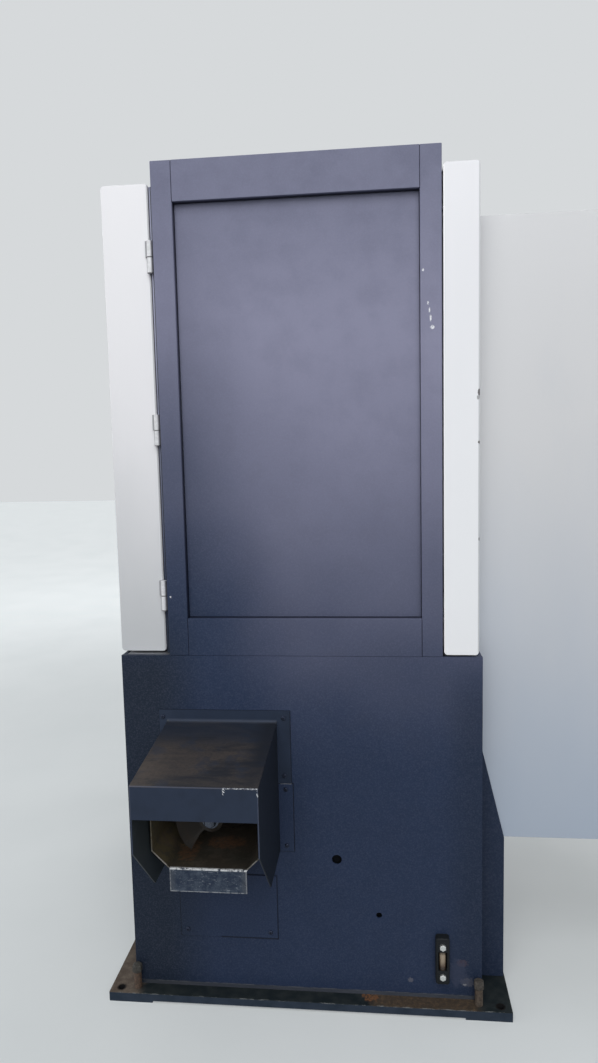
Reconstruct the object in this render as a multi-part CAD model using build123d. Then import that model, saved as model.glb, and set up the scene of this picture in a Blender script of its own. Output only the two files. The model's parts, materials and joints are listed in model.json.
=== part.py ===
from build123d import *
import math
import os

# An automatic sawing machine for bar, seen from its rear. Millimetres.
# X runs along the bar: the infeed is at +X and the outfeed at -X. Y runs from the rear face,
# where the chips come out, to the operator's side at +Y. Z is up and the floor is z = 0.

# Base weldment
base_left = -740.0
rear_face = -517.0
base_width = 900.0
base_depth = 1300.0
base_top = 912.0
wall = 12.0
table_thickness = 20.0
chip_slot_width = 104.0
chip_slot_reach = 60.0
weld_leg = 6.0
weld_inset = 12.0

# Foot plate with its pads, anchor holes and jack bolts
pad_thickness = 5.0
pad_size = 115.0
plate_thickness = 20.0
plate_reach_left = 60.0
plate_reach_right = 70.0
plate_reach_rear = 46.0
plate_reach_front = 46.0
anchor_hole_radius = 9.0
anchor_inset_x = 27.0
anchor_inset_y = 20.0
jack_radius = 10.0
jack_head_radius = 13.5
jack_head_height = 20.0
jack_head_chamfer = 2.0
jack_height = 64.0
jack_inset = 10.0
jack_stand_off = 21.0
side_gusset_setback = 87.0
side_gusset_reach = 67.0
side_gusset_shoulder = 410.0
side_gusset_top = 665.0
side_gusset_top_width = 6.0

# Chip auger, its trough and the outlet in the rear wall
auger_inset = 253.0
auger_floor_gap = 7.0
auger_hub_radius = 28.5
auger_flight_radius = 90.0
auger_pitch = 160.0
flight_thickness = 5.0
flight_end_gap = 3.0
flight_bite = 0.5
flight_steps = 24
flight_end_turn = 0.375
auger_setout = 157.0
auger_stub_radius = 20.0
auger_stub_length = 66.0
end_bolt_radius = 15.0
end_bolt_height = 12.5
end_bolt_chamfer = 2.0
end_washer_radius = 20.0
end_washer_height = 3.0
trough_width = 264.0
trough_floor_width = 181.0
trough_floor_height = 463.0
trough_top = 640.0
trough_setout = 205.0
trough_front_gap = 300.0
trough_sheet = 3.0
trough_end_plate = 6.0
lip_drop = 55.0
outlet_top = 700.0
auger_drive_width = 130.0
auger_drive_length = 120.0
auger_drive_corner = 15.0
auger_motor_radius = 55.0
auger_motor_length = 110.0
auger_motor_chamfer = 6.0

# Hood over the chip outlet, with its flange and side trims
hood_width = 281.0
hood_wall_height = 742.0
hood_front_height = 710.0
hood_reach = 312.0
hood_band = 76.0
cheek_front_low = 555.0
cheek_tip_reach = 165.0
hood_low = 403.0
hood_sheet = 3.0
hood_bend_radius = 10.0
flange_reach_left = 20.0
flange_reach_right = 33.0
flange_top = 772.0
flange_low = 584.0
flange_screw_inset = 16.0
flange_screw_drop = 18.0
flange_screw_rise = 20.0
trim_reach = 37.0
trim_reach_left = 22.0
trim_gap = 1.0

# Lower cover and the screws of all the rear face's covers
lower_cover_left = 128.0
lower_cover_width = 254.0
lower_cover_low = 163.0
lower_cover_height = 172.0
lower_cover_corner = 6.0
lower_screw_inset = 18.0
screw_radius = 3.0
screw_clearance = 0.1
screw_head_radius = 5.5
screw_head_height = 3.0
screw_head_chamfer = 1.0
screw_length = 10.0

# Holes in the rear wall
large_hole_radius = 12.5
large_hole_x = 538.0
large_hole_z = 384.0
small_hole_radius = 7.5
small_hole_x = 643.0
small_hole_z = 238.0

# Fluid tank and its level gauge
tank_left = 430.0
tank_right_gap = 3.0
tank_depth = 600.0
tank_height = 375.0
tank_sheet = 4.0
gauge_inset = 99.0
gauge_z = 134.5
gauge_pitch = 80.0
gauge_length = 123.0
gauge_width = 34.0
gauge_depth = 22.0
gauge_corner = 7.0
gauge_chamfer = 2.0
gauge_back = 2.0
gauge_window_width = 22.0
gauge_window_length = 50.0
gauge_tube_radius = 9.0
gauge_tube_inset = 2.0
gauge_bolt_radius = 6.0
gauge_bolt_head = 8.5
gauge_bolt_head_height = 7.0
gauge_bolt_tail = 4.0

# Rear column
column_inset_left = 125.0
column_inset_right = 95.0
column_top = 2105.0
stile_width = 50.0
stile_depth = 60.0
stile_wall = 4.0
top_rail_height = 95.0
bottom_rail_height = 95.0
panel_setback = 20.0
panel_thickness = 3.0
panel_gap = 0.5

# Cabinet behind the column
cabinet_setback = 60.0
roof_rim = 60.0
roof_sheet = 3.0
front_frame_depth = 50.0
front_post_width = 50.0
front_sill = 95.0
front_header = 95.0
front_frame_sheet = 4.0

# Doors and covers of folded sheet
cover_sheet = 2.0
cover_lip = 15.0
cover_corner = 9.0
cover_lift = 5.5
cover_drop = 42.5
spacer_radius = 6.5
spacer_inset = 100.0
right_cover_gap = 3.0
right_cover_depth = 83.0
left_door_gap = 14.0
left_door_depth = 117.0
left_door_setback = 25.0
left_door_bar_gap = 205.0
outfeed_cover_gap = 10.0
infeed_window_rear_reach = 150.0
infeed_window_front_reach = 250.0
infeed_window_rise = 380.0
outfeed_window_width = 160.0
outfeed_window_height = 240.0

# Weld-on hinges and latch of the blade door
low_hinge_rise = 144.5
high_hinge_drop = 173.5
hinge_knuckle = 38.0
hinge_gap = 0.5
hinge_radius = 8.0
hinge_offset = 2.0
hinge_lug_reach = 10.0
hinge_pin_radius = 5.0
hinge_pin_height = 29.0
hinge_bore_depth = 32.0
running_clearance = 0.05
hinge_strip_width = 12.0
hinge_strip_depth = 30.0
hinge_strip_drop = 50.0
latch_inset = 60.0
latch_shaft_radius = 8.0
latch_reach = 22.0
latch_grip_length = 110.0
latch_grip_radius = 9.0
latch_grip_chamfer = 3.0
latch_tongue_gap = 14.0
latch_tongue_thickness = 6.0
latch_tongue_width = 20.0
latch_tongue_length = 60.0

# Bar line, saw blade and its spindle
bar_setback = 350.0
bar_rise = 208.0
bar_radius = 50.0
blade_radius = 180.0
blade_thickness = 2.6
blade_teeth = 60
tooth_depth = 5.0
tooth_back_turn = 0.72
gullet_turn = 0.95
head_stroke = 130.0
blade_overrun = 5.0
spindle_radius = 35.0
spindle_seat = 190.0
spindle_gap = 2.0
pilot_radius = 20.0
pilot_reach = 6.0
clamp_radius = 60.0
clamp_thickness = 10.0
clamp_chamfer = 2.0
clamp_bolts = 6
clamp_bolt_circle = 40.0
clamp_bolt_radius = 7.0
clamp_bolt_height = 6.0

# Gearbox with its motor and chip brush
nose_radius = 68.0
gearbox_radius = 140.0
gearbox_rise = 60.0
gearbox_run = 195.0
gearbox_length = 212.0
gearbox_gap = 15.0
gearbox_chamfer = 6.0
gearbox_foot_drop = 10.0
gearbox_foot_inset_x = 10.0
gearbox_foot_inset_y = 20.0
motor_radius = 118.0
motor_length = 300.0
motor_flange_reach = 8.0
motor_flange_thickness = 16.0
motor_fins = 24
fin_height = 9.0
fin_thickness = 5.0
fan_cover_length = 60.0
fan_cover_chamfer = 10.0
terminal_box_start = 60.0
terminal_box_length = 110.0
terminal_box_width = 110.0
terminal_box_rise = 45.0
terminal_box_corner = 8.0
brush_radius = 50.0
brush_core_radius = 27.5
brush_width = 12.0
brush_slots = 24
brush_slot_width = 3.0
brush_shaft_radius = 8.0
brush_shaft_tail = 4.0
brush_shaft_seat = 40.0
brush_rise = 163.0

# Saddle on its guide rails, with the feed screw and its servo
saddle_offset = 17.0
saddle_front_reach = 60.0
saddle_length = 355.0
saddle_width = 370.0
saddle_thickness = 30.0
rail_spacing = 270.0
rail_width = 34.0
rail_height = 33.0
rail_foot_height = 13.0
rail_waist_height = 20.0
rail_head_height = 26.0
rail_notch = 5.0
rail_rear_overhang = 20.0
rail_front_overhang = 5.0
rail_block_length = 90.0
rail_block_width = 60.0
rail_block_height = 61.0
rail_block_lift = 12.0
rail_block_inset = 5.0
slide_gap = 0.3
screw_shaft_radius = 16.0
screw_journal_radius = 12.0
screw_journal_tail = 30.0
screw_rise = 53.0
screw_rear_gap = 15.0
screw_front_inset = 30.0
screw_chamfer = 3.0
nut_width = 64.0
nut_length = 80.0
nut_setback = 70.0
nut_drop = 28.0
servo_width = 110.0
servo_height = 90.0
servo_length = 140.0
servo_corner = 14.0
bearing_block_length = 50.0
bearing_block_rise = 30.0

# Vise bed and clamp
bed_left_reach = 103.0
bed_right_reach = 147.0
bed_rear_from_bar = 50.0
bed_depth = 200.0
bed_back_wall = 50.0
bed_slot = 20.0
bed_bridge = 40.0
clamp_arm_rise = 160.0
clamp_arm_height = 60.0
clamp_inset = 75.0
clamp_jaw_open = 15.0
clamp_jaw_height = 30.0
clamp_jaw_width = 70.0
clamp_jaw_offset = 10.0
clamp_jaw_chamfer = 6.0
clamp_rod_radius = 20.0
clamp_rod_overlap = 20.0
clamp_travel = 60.0
clamp_cylinder_radius = 45.0
clamp_cylinder_cap = 15.0
clamp_cylinder_chamfer = 4.0

# Infeed unit inside its enclosure
enclosure_setback = 100.0
enclosure_reach = 640.0
enclosure_low = 407.0
enclosure_top = 1968.0
enclosure_sheet = 2.0
end_panel_sheet = 3.0
bar_inlet_radius = 70.0
beam_overlap = 88.0
beam_half_width = 125.0
beam_height = 98.0
beam_wall = 10.0
beam_top_wall = 20.0
carriage_length = 220.0
carriage_travel = 300.0
carriage_end_gap = 85.0
carriage_base = 50.0
feed_jaw_length = 100.0
feed_jaw_width = 36.0
feed_jaw_thickness = 40.0
feed_jaw_rise = 60.0
feed_jaw_open = 12.0
feed_jaw_travel = 60.0
feed_rod_radius = 12.0
feed_rod_overlap = 30.0
feed_block_thickness = 25.0
feed_cylinder_radius = 28.0
feed_cylinder_cap = 10.0

# Operator's side: door with its window, hinges and handle
front_door_gap = 3.0
front_door_thickness = 20.0
front_door_sheet = 3.0
front_door_inset_left = 4.0
front_door_inset_right = 20.0
front_door_inset_low = 10.0
front_door_inset_top = 6.0
window_width = 400.0
window_height = 560.0
window_rise = 268.0
window_thickness = 6.0
window_rim = 12.0
window_rebate = 6.0
window_frame_depth = 8.0
front_hinge_radius = 10.0
front_hinge_pin = 6.0
front_hinge_length = 60.0
front_hinge_inset = 150.0
front_hinge_lug = 10.0
front_strap_reach = 20.0
front_strap_thickness = 4.0
handle_radius = 8.0
handle_post_radius = 7.0
handle_length = 180.0
handle_reach = 30.0
handle_inset = 40.0
handle_post_inset = 15.0

# Control box on the operator's side
panel_box_inset = 60.0
panel_box_width = 340.0
panel_box_low = 1180.0
panel_box_height = 440.0
panel_box_depth = 80.0
panel_box_corner = 12.0
screen_width = 220.0
screen_height = 165.0
screen_drop = 50.0
screen_recess = 4.0
button_rise = 70.0
stop_inset = 60.0
stop_radius = 20.0
stop_cap_height = 14.0
stop_cap_chamfer = 4.0
stop_gap = 2.0
stop_neck_radius = 11.0
stop_neck_seat = 20.0
stop_travel = 5.0
start_inset = 70.0
start_radius = 11.0
start_seat = 12.0
start_proud = 5.0
start_chamfer = 1.0
start_travel = 3.0
button_floor_gap = 5.0

# Places that follow from the sizes above
base_right = base_left + base_width
front_face = rear_face + base_depth
bar_y = front_face - bar_setback
inner_left = base_left + wall
inner_right = base_right - wall
inner_rear = rear_face + wall
inner_front = front_face - wall
plate_top = pad_thickness + plate_thickness
plate_left = base_left - plate_reach_left
plate_right = base_right + plate_reach_right
plate_rear = rear_face - plate_reach_rear
plate_front = front_face + plate_reach_front
auger_x = base_left + auger_inset
auger_end = rear_face - auger_setout
auger_height = trough_floor_height + auger_flight_radius + auger_floor_gap
trough_rear = rear_face - trough_setout
trough_end = front_face - trough_front_gap
hood_left = auger_x - hood_width / 2
hood_right = auger_x + hood_width / 2
cover_face = rear_face - hood_sheet
flange_left = hood_left - flange_reach_left
flange_right = hood_right + flange_reach_right
lower_left = base_left + lower_cover_left
gauge_middle = base_right - gauge_inset
gauge_bolt_heights = (gauge_z - gauge_pitch / 2, gauge_z + gauge_pitch / 2)
column_left = base_left + column_inset_left
column_right = base_right - column_inset_right
panel_left = column_left + stile_width
panel_right = column_right - stile_width
panel_low = base_top + bottom_rail_height
panel_top = column_top - top_rail_height
cabinet_front = front_face - cabinet_setback
frame_top = column_top - roof_rim
cover_low = base_top + cover_lift
cover_top = column_top - cover_drop
door_right = column_left - left_door_gap
door_left = door_right - left_door_depth
door_rear = rear_face + left_door_setback
door_front = bar_y - left_door_bar_gap
right_cover_left = column_right + right_cover_gap
right_cover_right = right_cover_left + right_cover_depth
hinge_x = door_right + hinge_offset
hinge_y = door_rear - hinge_radius
low_hinge = cover_low + low_hinge_rise
high_hinge = cover_top - high_hinge_drop
hinge_heights = (low_hinge, (low_hinge + high_hinge) / 2, high_hinge)
latch_y = door_front - latch_inset
latch_height = (cover_low + cover_top) / 2
blade_x = auger_x
bar_height = base_top + bar_rise
blade_y = bar_y + bar_radius + blade_overrun - blade_radius - head_stroke
bar_bottom = bar_height - bar_radius
bar_top = bar_height + bar_radius
infeed_rear = bar_y - infeed_window_rear_reach
infeed_front = bar_y + infeed_window_front_reach
infeed_top = bar_height + infeed_window_rise
outfeed_rear = bar_y - outfeed_window_width / 2
outfeed_front = bar_y + outfeed_window_width / 2
outfeed_low = bar_height - outfeed_window_height / 2
outfeed_high = bar_height + outfeed_window_height / 2
blade_face = blade_x + blade_thickness / 2
gearbox_left = blade_x + gearbox_gap
gearbox_right = gearbox_left + gearbox_length
gearbox_y = blade_y - gearbox_run
gearbox_z = bar_height + gearbox_rise
brush_left = blade_x - brush_width / 2
brush_y = blade_y - brush_rise
brush_z = bar_height + brush_rise
rail_top = base_top + rail_height
saddle_low = base_top + rail_block_lift + rail_block_height
saddle_top = saddle_low + saddle_thickness
saddle_left = blade_x + saddle_offset
saddle_front = blade_y + saddle_front_reach
saddle_rear = saddle_front - saddle_length
rail_left_x = saddle_left + (saddle_width - rail_spacing) / 2
rail_right_x = rail_left_x + rail_spacing
screw_x = (rail_left_x + rail_right_x) / 2
screw_z = base_top + screw_rise
screw_front = saddle_front + head_stroke - screw_front_inset
screw_rear = saddle_rear - screw_rear_gap
bed_rear = bar_y - bed_rear_from_bar
bed_front = bed_rear + bed_depth
bed_left = blade_x - bed_left_reach
bed_right = blade_x + bed_right_reach
slot_right = blade_x + bed_slot / 2
clamp_x = slot_right + clamp_inset
arm_low = bar_height + clamp_arm_rise
arm_top = arm_low + clamp_arm_height
clamp_rod_top = arm_top + clamp_travel + clamp_rod_overlap
clamp_jaw_low = bar_top + clamp_jaw_open
enclosure_right = base_right + enclosure_reach
enclosure_rear = rear_face + enclosure_setback
beam_top = base_top + beam_height
beam_start = base_right - beam_overlap
beam_end = beam_start + carriage_length + carriage_travel + 2 * carriage_end_gap
carriage_right = beam_end - carriage_end_gap
carriage_left = carriage_right - carriage_length
carriage_low = beam_top + slide_gap
carriage_top = carriage_low + carriage_base
jaw_top = bar_height + feed_jaw_rise
feed_jaw_near = bar_y + bar_radius + feed_jaw_open
feed_rod_x = carriage_left + feed_jaw_length / 2
feed_block_front = bar_y + beam_half_width
feed_rod_end = feed_block_front + feed_jaw_travel + feed_rod_overlap
front_door_rear = cabinet_front + front_door_gap
front_door_front = front_door_rear + front_door_thickness
front_door_left = column_left + front_door_inset_left
front_door_right = column_right - front_door_inset_right
front_door_low = base_top + front_door_inset_low
front_door_top = frame_top - front_door_inset_top
front_hinge_heights = (base_top + front_hinge_inset, frame_top - front_hinge_inset)
front_hinge_x = column_right - front_hinge_radius
front_hinge_y = front_door_front + front_hinge_radius
window_x = (front_door_left + front_door_right) / 2
window_low = base_top + window_rise
window_top = window_low + window_height
box_left = base_right + panel_box_inset
box_right = box_left + panel_box_width
box_rear = cabinet_front
box_front = box_rear + panel_box_depth
stop_x = box_right - stop_inset
start_x = box_left + start_inset
button_z = panel_box_low + button_rise

# Screws on the rear face as (x, z): the hood's flange, its right trim and the lower cover
flange_screw_places = [
    (flange_left + flange_reach_left / 2, flange_top - flange_screw_drop),
    (flange_right - flange_screw_inset, flange_top - flange_screw_drop),
    (flange_right - flange_screw_inset, flange_low + flange_screw_rise),
    (flange_left + flange_reach_left / 2, flange_low + flange_screw_rise),
]
trim_screw_places = [
    (hood_right + trim_reach / 2, flange_low - flange_screw_inset),
    (hood_right + trim_reach / 2, hood_low + flange_screw_inset),
]
lower_screw_places = [
    (lower_left + lower_screw_inset, lower_cover_low + lower_screw_inset),
    (lower_left + lower_cover_width - lower_screw_inset, lower_cover_low + lower_screw_inset),
]
all_screw_places = flange_screw_places + trim_screw_places + lower_screw_places

# Anchor holes and jack bolts as (x, y) on the foot plate
anchor_places = [
    (plate_left + anchor_inset_x, plate_rear + anchor_inset_y),
    (plate_right - anchor_inset_x, plate_rear + anchor_inset_y),
    (plate_left + anchor_inset_x, plate_front - anchor_inset_y),
    (plate_right - anchor_inset_x, plate_front - anchor_inset_y),
]
jack_places = [
    (base_left + jack_inset, rear_face - jack_stand_off),
    (base_right - jack_inset, rear_face - jack_stand_off),
    (base_left + jack_inset, front_face + jack_stand_off),
    (base_right - jack_inset, front_face + jack_stand_off),
]


def slab(x, y, z):
    """Rectangular solid between (low, high) pairs along X, Y and Z."""
    middle = ((x[0] + x[1]) / 2, (y[0] + y[1]) / 2, (z[0] + z[1]) / 2)
    return Pos(*middle) * Box(x[1] - x[0], y[1] - y[0], z[1] - z[0])


def rod(start, direction, radius, length):
    """Cylinder that starts at a point and runs along a direction."""
    return Plane(origin=start, z_dir=direction) * Cylinder(
        radius, length, align=(Align.CENTER, Align.CENTER, Align.MIN))


def hexagon_bar(start, direction, radius, length):
    """Hexagonal bar whose corners lie on the radius."""
    return extrude(Plane(origin=start, z_dir=direction) * RegularPolygon(radius, 6), amount=length)


def along_x(points, x0, x1):
    """Outline of (y, z) points, carried from x0 to x1."""
    return extrude(Plane.YZ.offset(x0) * make_face(Polyline(*points, close=True)), amount=x1 - x0)


def along_y(points, y0, y1):
    """Outline of (x, z) points, carried from y0 to y1."""
    plane = Plane(origin=(0, y1, 0), x_dir=(1, 0, 0), z_dir=(0, -1, 0))
    return extrude(plane * make_face(Polyline(*points, close=True)), amount=y1 - y0)


def wall_hole(x, z, radius, depth):
    """Cutter for a round hole in the rear face, with 1 mm to spare at both faces."""
    return rod((x, rear_face - depth - 1, z), (0, 1, 0), radius, depth + wall + 2)


def screw_hole(x, z):
    """Clearance hole for a cover screw through a cover and the rear wall."""
    return wall_hole(x, z, screw_radius + screw_clearance, hood_sheet)


def folded_cover(x, y, z, open_to):
    """Deep folded sheet tray with a turned-in lip; open_to is +1 or -1 along X."""
    outer = slab(x, y, z)
    outer = fillet(outer.edges().filter_by(Axis.Y), cover_corner)
    t = cover_sheet
    inner = slab((x[0] + t, x[1] - t), (y[0] + t, y[1] - t), (z[0] + t, z[1] - t))
    inner = fillet(inner.edges().filter_by(Axis.Y), cover_corner - t)
    mouth_x = (x[1] - 2 * t, x[1] + t) if open_to > 0 else (x[0] - t, x[0] + 2 * t)
    lip = cover_lip
    mouth = slab(mouth_x, (y[0] + lip, y[1] - lip), (z[0] + lip, z[1] - lip))
    return outer - inner - mouth


def trough_outline(grow, top):
    """Chamfered channel section as (x, z) points, larger than the trough's own by grow."""
    half = trough_width / 2 + grow
    floor = trough_floor_width / 2 + grow * math.tan(math.pi / 8)
    low = trough_floor_height - grow
    shoulder = low + half - floor
    return [(auger_x - half, top), (auger_x - half, shoulder), (auger_x - floor, low),
            (auger_x + floor, low), (auger_x + half, shoulder), (auger_x + half, top)]


def make_foot_plate():
    plate = slab((plate_left, plate_right), (plate_rear, plate_front), (pad_thickness, plate_top))
    for x, y in anchor_places:
        plate -= rod((x, y, 0), (0, 0, 1), anchor_hole_radius, plate_top + 1)
    for x, y in jack_places:
        plate -= rod((x, y, 0), (0, 0, 1), jack_radius + slide_gap, plate_top + 1)
    return plate


def make_floor_pads():
    pads = []
    for x0 in (plate_left, plate_right - pad_size):
        for y0 in (plate_rear, (plate_rear + plate_front - pad_size) / 2, plate_front - pad_size):
            pad = slab((x0, x0 + pad_size), (y0, y0 + pad_size), (0, pad_thickness))
            for x, y in anchor_places:
                pad -= rod((x, y, -1), (0, 0, 1), anchor_hole_radius, pad_thickness + 2)
            pads.append(pad)
    return Compound(children=pads)


def make_jack_bolts():
    bolts = []
    head_z = plate_top + jack_height - jack_head_height
    for x, y in jack_places:
        shank = rod((x, y, pad_thickness), (0, 0, 1), jack_radius, head_z - pad_thickness)
        head = hexagon_bar((x, y, head_z), (0, 0, 1), jack_head_radius, jack_head_height)
        bolts.append(shank + chamfer(head.faces().sort_by(Axis.Z)[-1].edges(), jack_head_chamfer))
    return Compound(children=bolts)


def weld_bead(face, outward):
    """Fillet weld between the foot plate and the wall whose outer face is at y = face."""
    points = [(face, plate_top), (face + outward * weld_leg, plate_top), (face, plate_top + weld_leg)]
    return along_x(points, base_left + weld_inset, base_right - weld_inset)


def make_base_rear_wall():
    sheet = slab((base_left, base_right), (rear_face, inner_rear), (plate_top, base_top))
    sheet += weld_bead(rear_face, -1)
    sheet -= along_y(trough_outline(slide_gap, outlet_top), rear_face - 1, inner_rear + 1)
    for x, z in all_screw_places:
        sheet -= screw_hole(x, z)
    sheet -= wall_hole(base_left + large_hole_x, large_hole_z, large_hole_radius, 0)
    sheet -= wall_hole(base_left + small_hole_x, small_hole_z, small_hole_radius, 0)
    for z in gauge_bolt_heights:
        sheet -= wall_hole(gauge_middle, z, gauge_bolt_radius + slide_gap, 0)
    return sheet


def make_base_left_wall():
    return slab((base_left, inner_left), (inner_rear, inner_front), (plate_top, base_top))


def make_base_right_wall():
    return slab((inner_right, base_right), (inner_rear, inner_front), (plate_top, base_top))


def make_base_front_wall():
    sheet = slab((base_left, base_right), (inner_front, front_face), (plate_top, base_top))
    return sheet + weld_bead(front_face, 1)


def make_base_table():
    low = base_top - table_thickness
    table = slab((inner_left, inner_right), (inner_rear, inner_front), (low, base_top))
    half = chip_slot_width / 2
    slot = slab((blade_x - half, blade_x + half), (blade_y - chip_slot_reach, bed_front - bed_bridge),
                (low - 1, base_top + 1))
    return table - slot


def make_side_gusset():
    outer = base_right + side_gusset_reach
    points = [(base_right, plate_top), (outer, plate_top), (outer, side_gusset_shoulder),
              (base_right + side_gusset_top_width, side_gusset_top), (base_right, side_gusset_top)]
    return along_y(points, rear_face + side_gusset_setback, enclosure_rear)


def make_chip_hood():
    t = hood_sheet
    front = rear_face - hood_reach
    tip = rear_face - cheek_tip_reach
    band_low = hood_front_height - hood_band
    outer = along_x([(rear_face, hood_wall_height), (front, hood_front_height), (front, cheek_front_low),
                     (tip, hood_low), (rear_face, hood_low)], hood_left, hood_right)
    slope = (hood_wall_height - hood_front_height) / hood_reach
    inner = along_x([(rear_face + 1, hood_wall_height - t), (front + t, hood_front_height - t + slope * t),
                     (front + t, band_low), (front - 1, band_low), (front - 1, hood_low - 1),
                     (rear_face + 1, hood_low - 1)], hood_left + t, hood_right - t)
    flange = along_y([(flange_left, flange_top), (flange_right, flange_top), (flange_right, flange_low),
                      (hood_right - t, flange_low), (hood_right - t, hood_wall_height - t),
                      (hood_left + t, hood_wall_height - t), (hood_left + t, flange_low),
                      (flange_left, flange_low)], cover_face, rear_face)
    hood = outer + flange
    bend = [e for e in hood.edges().filter_by(Axis.X)
            if abs(e.center().Y - cover_face) < t / 2 and abs(e.center().Z - hood_wall_height) < t / 2]
    hood = fillet(bend, hood_bend_radius) - inner
    for x, z in flange_screw_places:
        hood -= screw_hole(x, z)
    return hood


def make_hood_side_trims():
    """Strips that close the rear wall beside the hood's cheeks, below the flange."""
    y = (cover_face, rear_face)
    z = (hood_low, flange_low - trim_gap)
    right = slab((hood_right, hood_right + trim_reach), y, z)
    for x, screw_z in trim_screw_places:
        right -= screw_hole(x, screw_z)
    left = slab((hood_left - trim_reach_left, hood_left), y, z)
    return Compound(children=[right, left])


def make_lower_cover():
    cover = slab((lower_left, lower_left + lower_cover_width), (cover_face, rear_face),
                 (lower_cover_low, lower_cover_low + lower_cover_height))
    cover = fillet(cover.edges().filter_by(Axis.Y), lower_cover_corner)
    for x, z in lower_screw_places:
        cover -= screw_hole(x, z)
    return cover


def make_cover_screws():
    screws = []
    for x, z in all_screw_places:
        shank = rod((x, cover_face, z), (0, 1, 0), screw_radius, screw_length)
        head = rod((x, cover_face, z), (0, -1, 0), screw_head_radius, screw_head_height)
        screws.append(shank + chamfer(head.faces().sort_by(Axis.Y)[0].edges(), screw_head_chamfer))
    return Compound(children=screws)


def make_chip_trough():
    outer = along_y(trough_outline(0, trough_top), trough_rear, trough_end)
    inner = along_y(trough_outline(-trough_sheet, trough_top + 1), trough_rear - 1, trough_end + 1)
    half = trough_floor_width / 2
    lip = slab((auger_x - half, auger_x + half), (trough_rear, trough_rear + trough_sheet),
               (trough_floor_height - lip_drop, trough_floor_height))
    end = slab((auger_x - trough_width / 2, auger_x + trough_width / 2),
               (trough_end, trough_end + trough_end_plate), (plate_top, trough_top))
    end -= rod((auger_x, trough_end - 1, auger_height), (0, 1, 0), auger_stub_radius + slide_gap,
               trough_end_plate + 2)
    return outer - inner + lip + end


def helical_flight(turns):
    """Ribbon of flat facets that climbs round the Z axis from z = 0."""
    rims = []
    for i in range(round(turns * flight_steps) + 1):
        turn = 2 * math.pi * i / flight_steps
        z = auger_pitch * i / flight_steps
        corners = ((auger_hub_radius, 0), (auger_flight_radius, 0), (auger_flight_radius, flight_thickness),
                   (auger_hub_radius, flight_thickness))
        rims.append([(r * math.cos(turn), r * math.sin(turn), z + rise) for r, rise in corners])
    faces = [Face(Wire.make_polygon(rims[0])), Face(Wire.make_polygon(rims[-1]))]
    for (a, b, c, d), (e, f, g, h) in zip(rims, rims[1:]):
        for points in ((a, b, f), (a, f, e), (d, c, g), (d, g, h), (b, c, g, f), (a, d, h, e)):
            faces.append(Face(Wire.make_polygon(points)))
    return Solid(Shell(faces))


def make_chip_auger():
    """Tube with a helical flight, cut square at both ends, and the stub that the drive turns."""
    length = trough_end - flight_end_gap - auger_end
    foot = (Align.CENTER, Align.CENTER, Align.MIN)
    tube = extrude(RegularPolygon(auger_hub_radius + flight_bite, flight_steps), amount=length)
    flight = Pos(0, 0, -auger_pitch * flight_end_turn) * helical_flight(length / auger_pitch + 1)
    keep = Box(2 * auger_flight_radius, 2 * auger_flight_radius, length, align=foot)
    stub = Pos(0, 0, length) * Cylinder(auger_stub_radius, auger_stub_length, align=foot)
    auger = tube + (flight & keep) + stub
    return Plane(origin=(auger_x, auger_end, auger_height), x_dir=(1, 0, 0), z_dir=(0, 1, 0)) * auger


def make_auger_end_bolt():
    washer = rod((auger_x, auger_end, auger_height), (0, -1, 0), end_washer_radius, end_washer_height)
    head = hexagon_bar((auger_x, auger_end - end_washer_height, auger_height), (0, -1, 0),
                       end_bolt_radius, end_bolt_height)
    return washer + chamfer(head.faces().sort_by(Axis.Y)[0].edges(), end_bolt_chamfer)


def make_auger_gearmotor():
    y0 = trough_end + trough_end_plate
    half = auger_drive_width / 2
    case = slab((auger_x - half, auger_x + half), (y0, y0 + auger_drive_length),
                (auger_height - half, auger_height + half))
    case = fillet(case.edges().filter_by(Axis.Y), auger_drive_corner)
    motor = rod((auger_x, y0 + auger_drive_length, auger_height), (0, 1, 0), auger_motor_radius,
                auger_motor_length)
    motor = chamfer(motor.faces().sort_by(Axis.Y)[-1].edges(), auger_motor_chamfer)
    bore = rod((auger_x, y0 - 1, auger_height), (0, 1, 0), auger_stub_radius + running_clearance,
               auger_stub_length + 1)
    return case + motor - bore


def make_fluid_tank():
    x = (base_left + tank_left, inner_right - tank_right_gap)
    y = (inner_rear + slide_gap, inner_rear + slide_gap + tank_depth)
    z = (plate_top, plate_top + tank_height)
    t = tank_sheet
    tank = slab(x, y, z) - slab((x[0] + t, x[1] - t), (y[0] + t, y[1] - t), (z[0] + t, z[1] + 1))
    for bolt_z in gauge_bolt_heights:
        tank -= rod((gauge_middle, y[0] - 1, bolt_z), (0, 1, 0), gauge_bolt_radius + screw_clearance, t + 2)
    return tank


def make_level_gauge_body():
    x = (gauge_middle - gauge_width / 2, gauge_middle + gauge_width / 2)
    z = (gauge_z - gauge_length / 2, gauge_z + gauge_length / 2)
    body = slab(x, (rear_face - gauge_depth, rear_face), z)
    body = fillet(body.edges().filter_by(Axis.Y), gauge_corner)
    body = chamfer(body.faces().sort_by(Axis.Y)[0].edges(), gauge_chamfer)
    body -= slab((gauge_middle - gauge_window_width / 2, gauge_middle + gauge_window_width / 2),
                 (rear_face - gauge_depth - 1, rear_face - gauge_back),
                 (gauge_z - gauge_window_length / 2, gauge_z + gauge_window_length / 2))
    for bolt_z in gauge_bolt_heights:
        body -= wall_hole(gauge_middle, bolt_z, gauge_bolt_radius + screw_clearance, gauge_depth)
    return body


def make_level_gauge_tube():
    low = gauge_z - gauge_window_length / 2
    y = rear_face - gauge_depth + gauge_tube_inset + gauge_tube_radius
    return rod((gauge_middle, y, low), (0, 0, 1), gauge_tube_radius, gauge_window_length)


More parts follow.
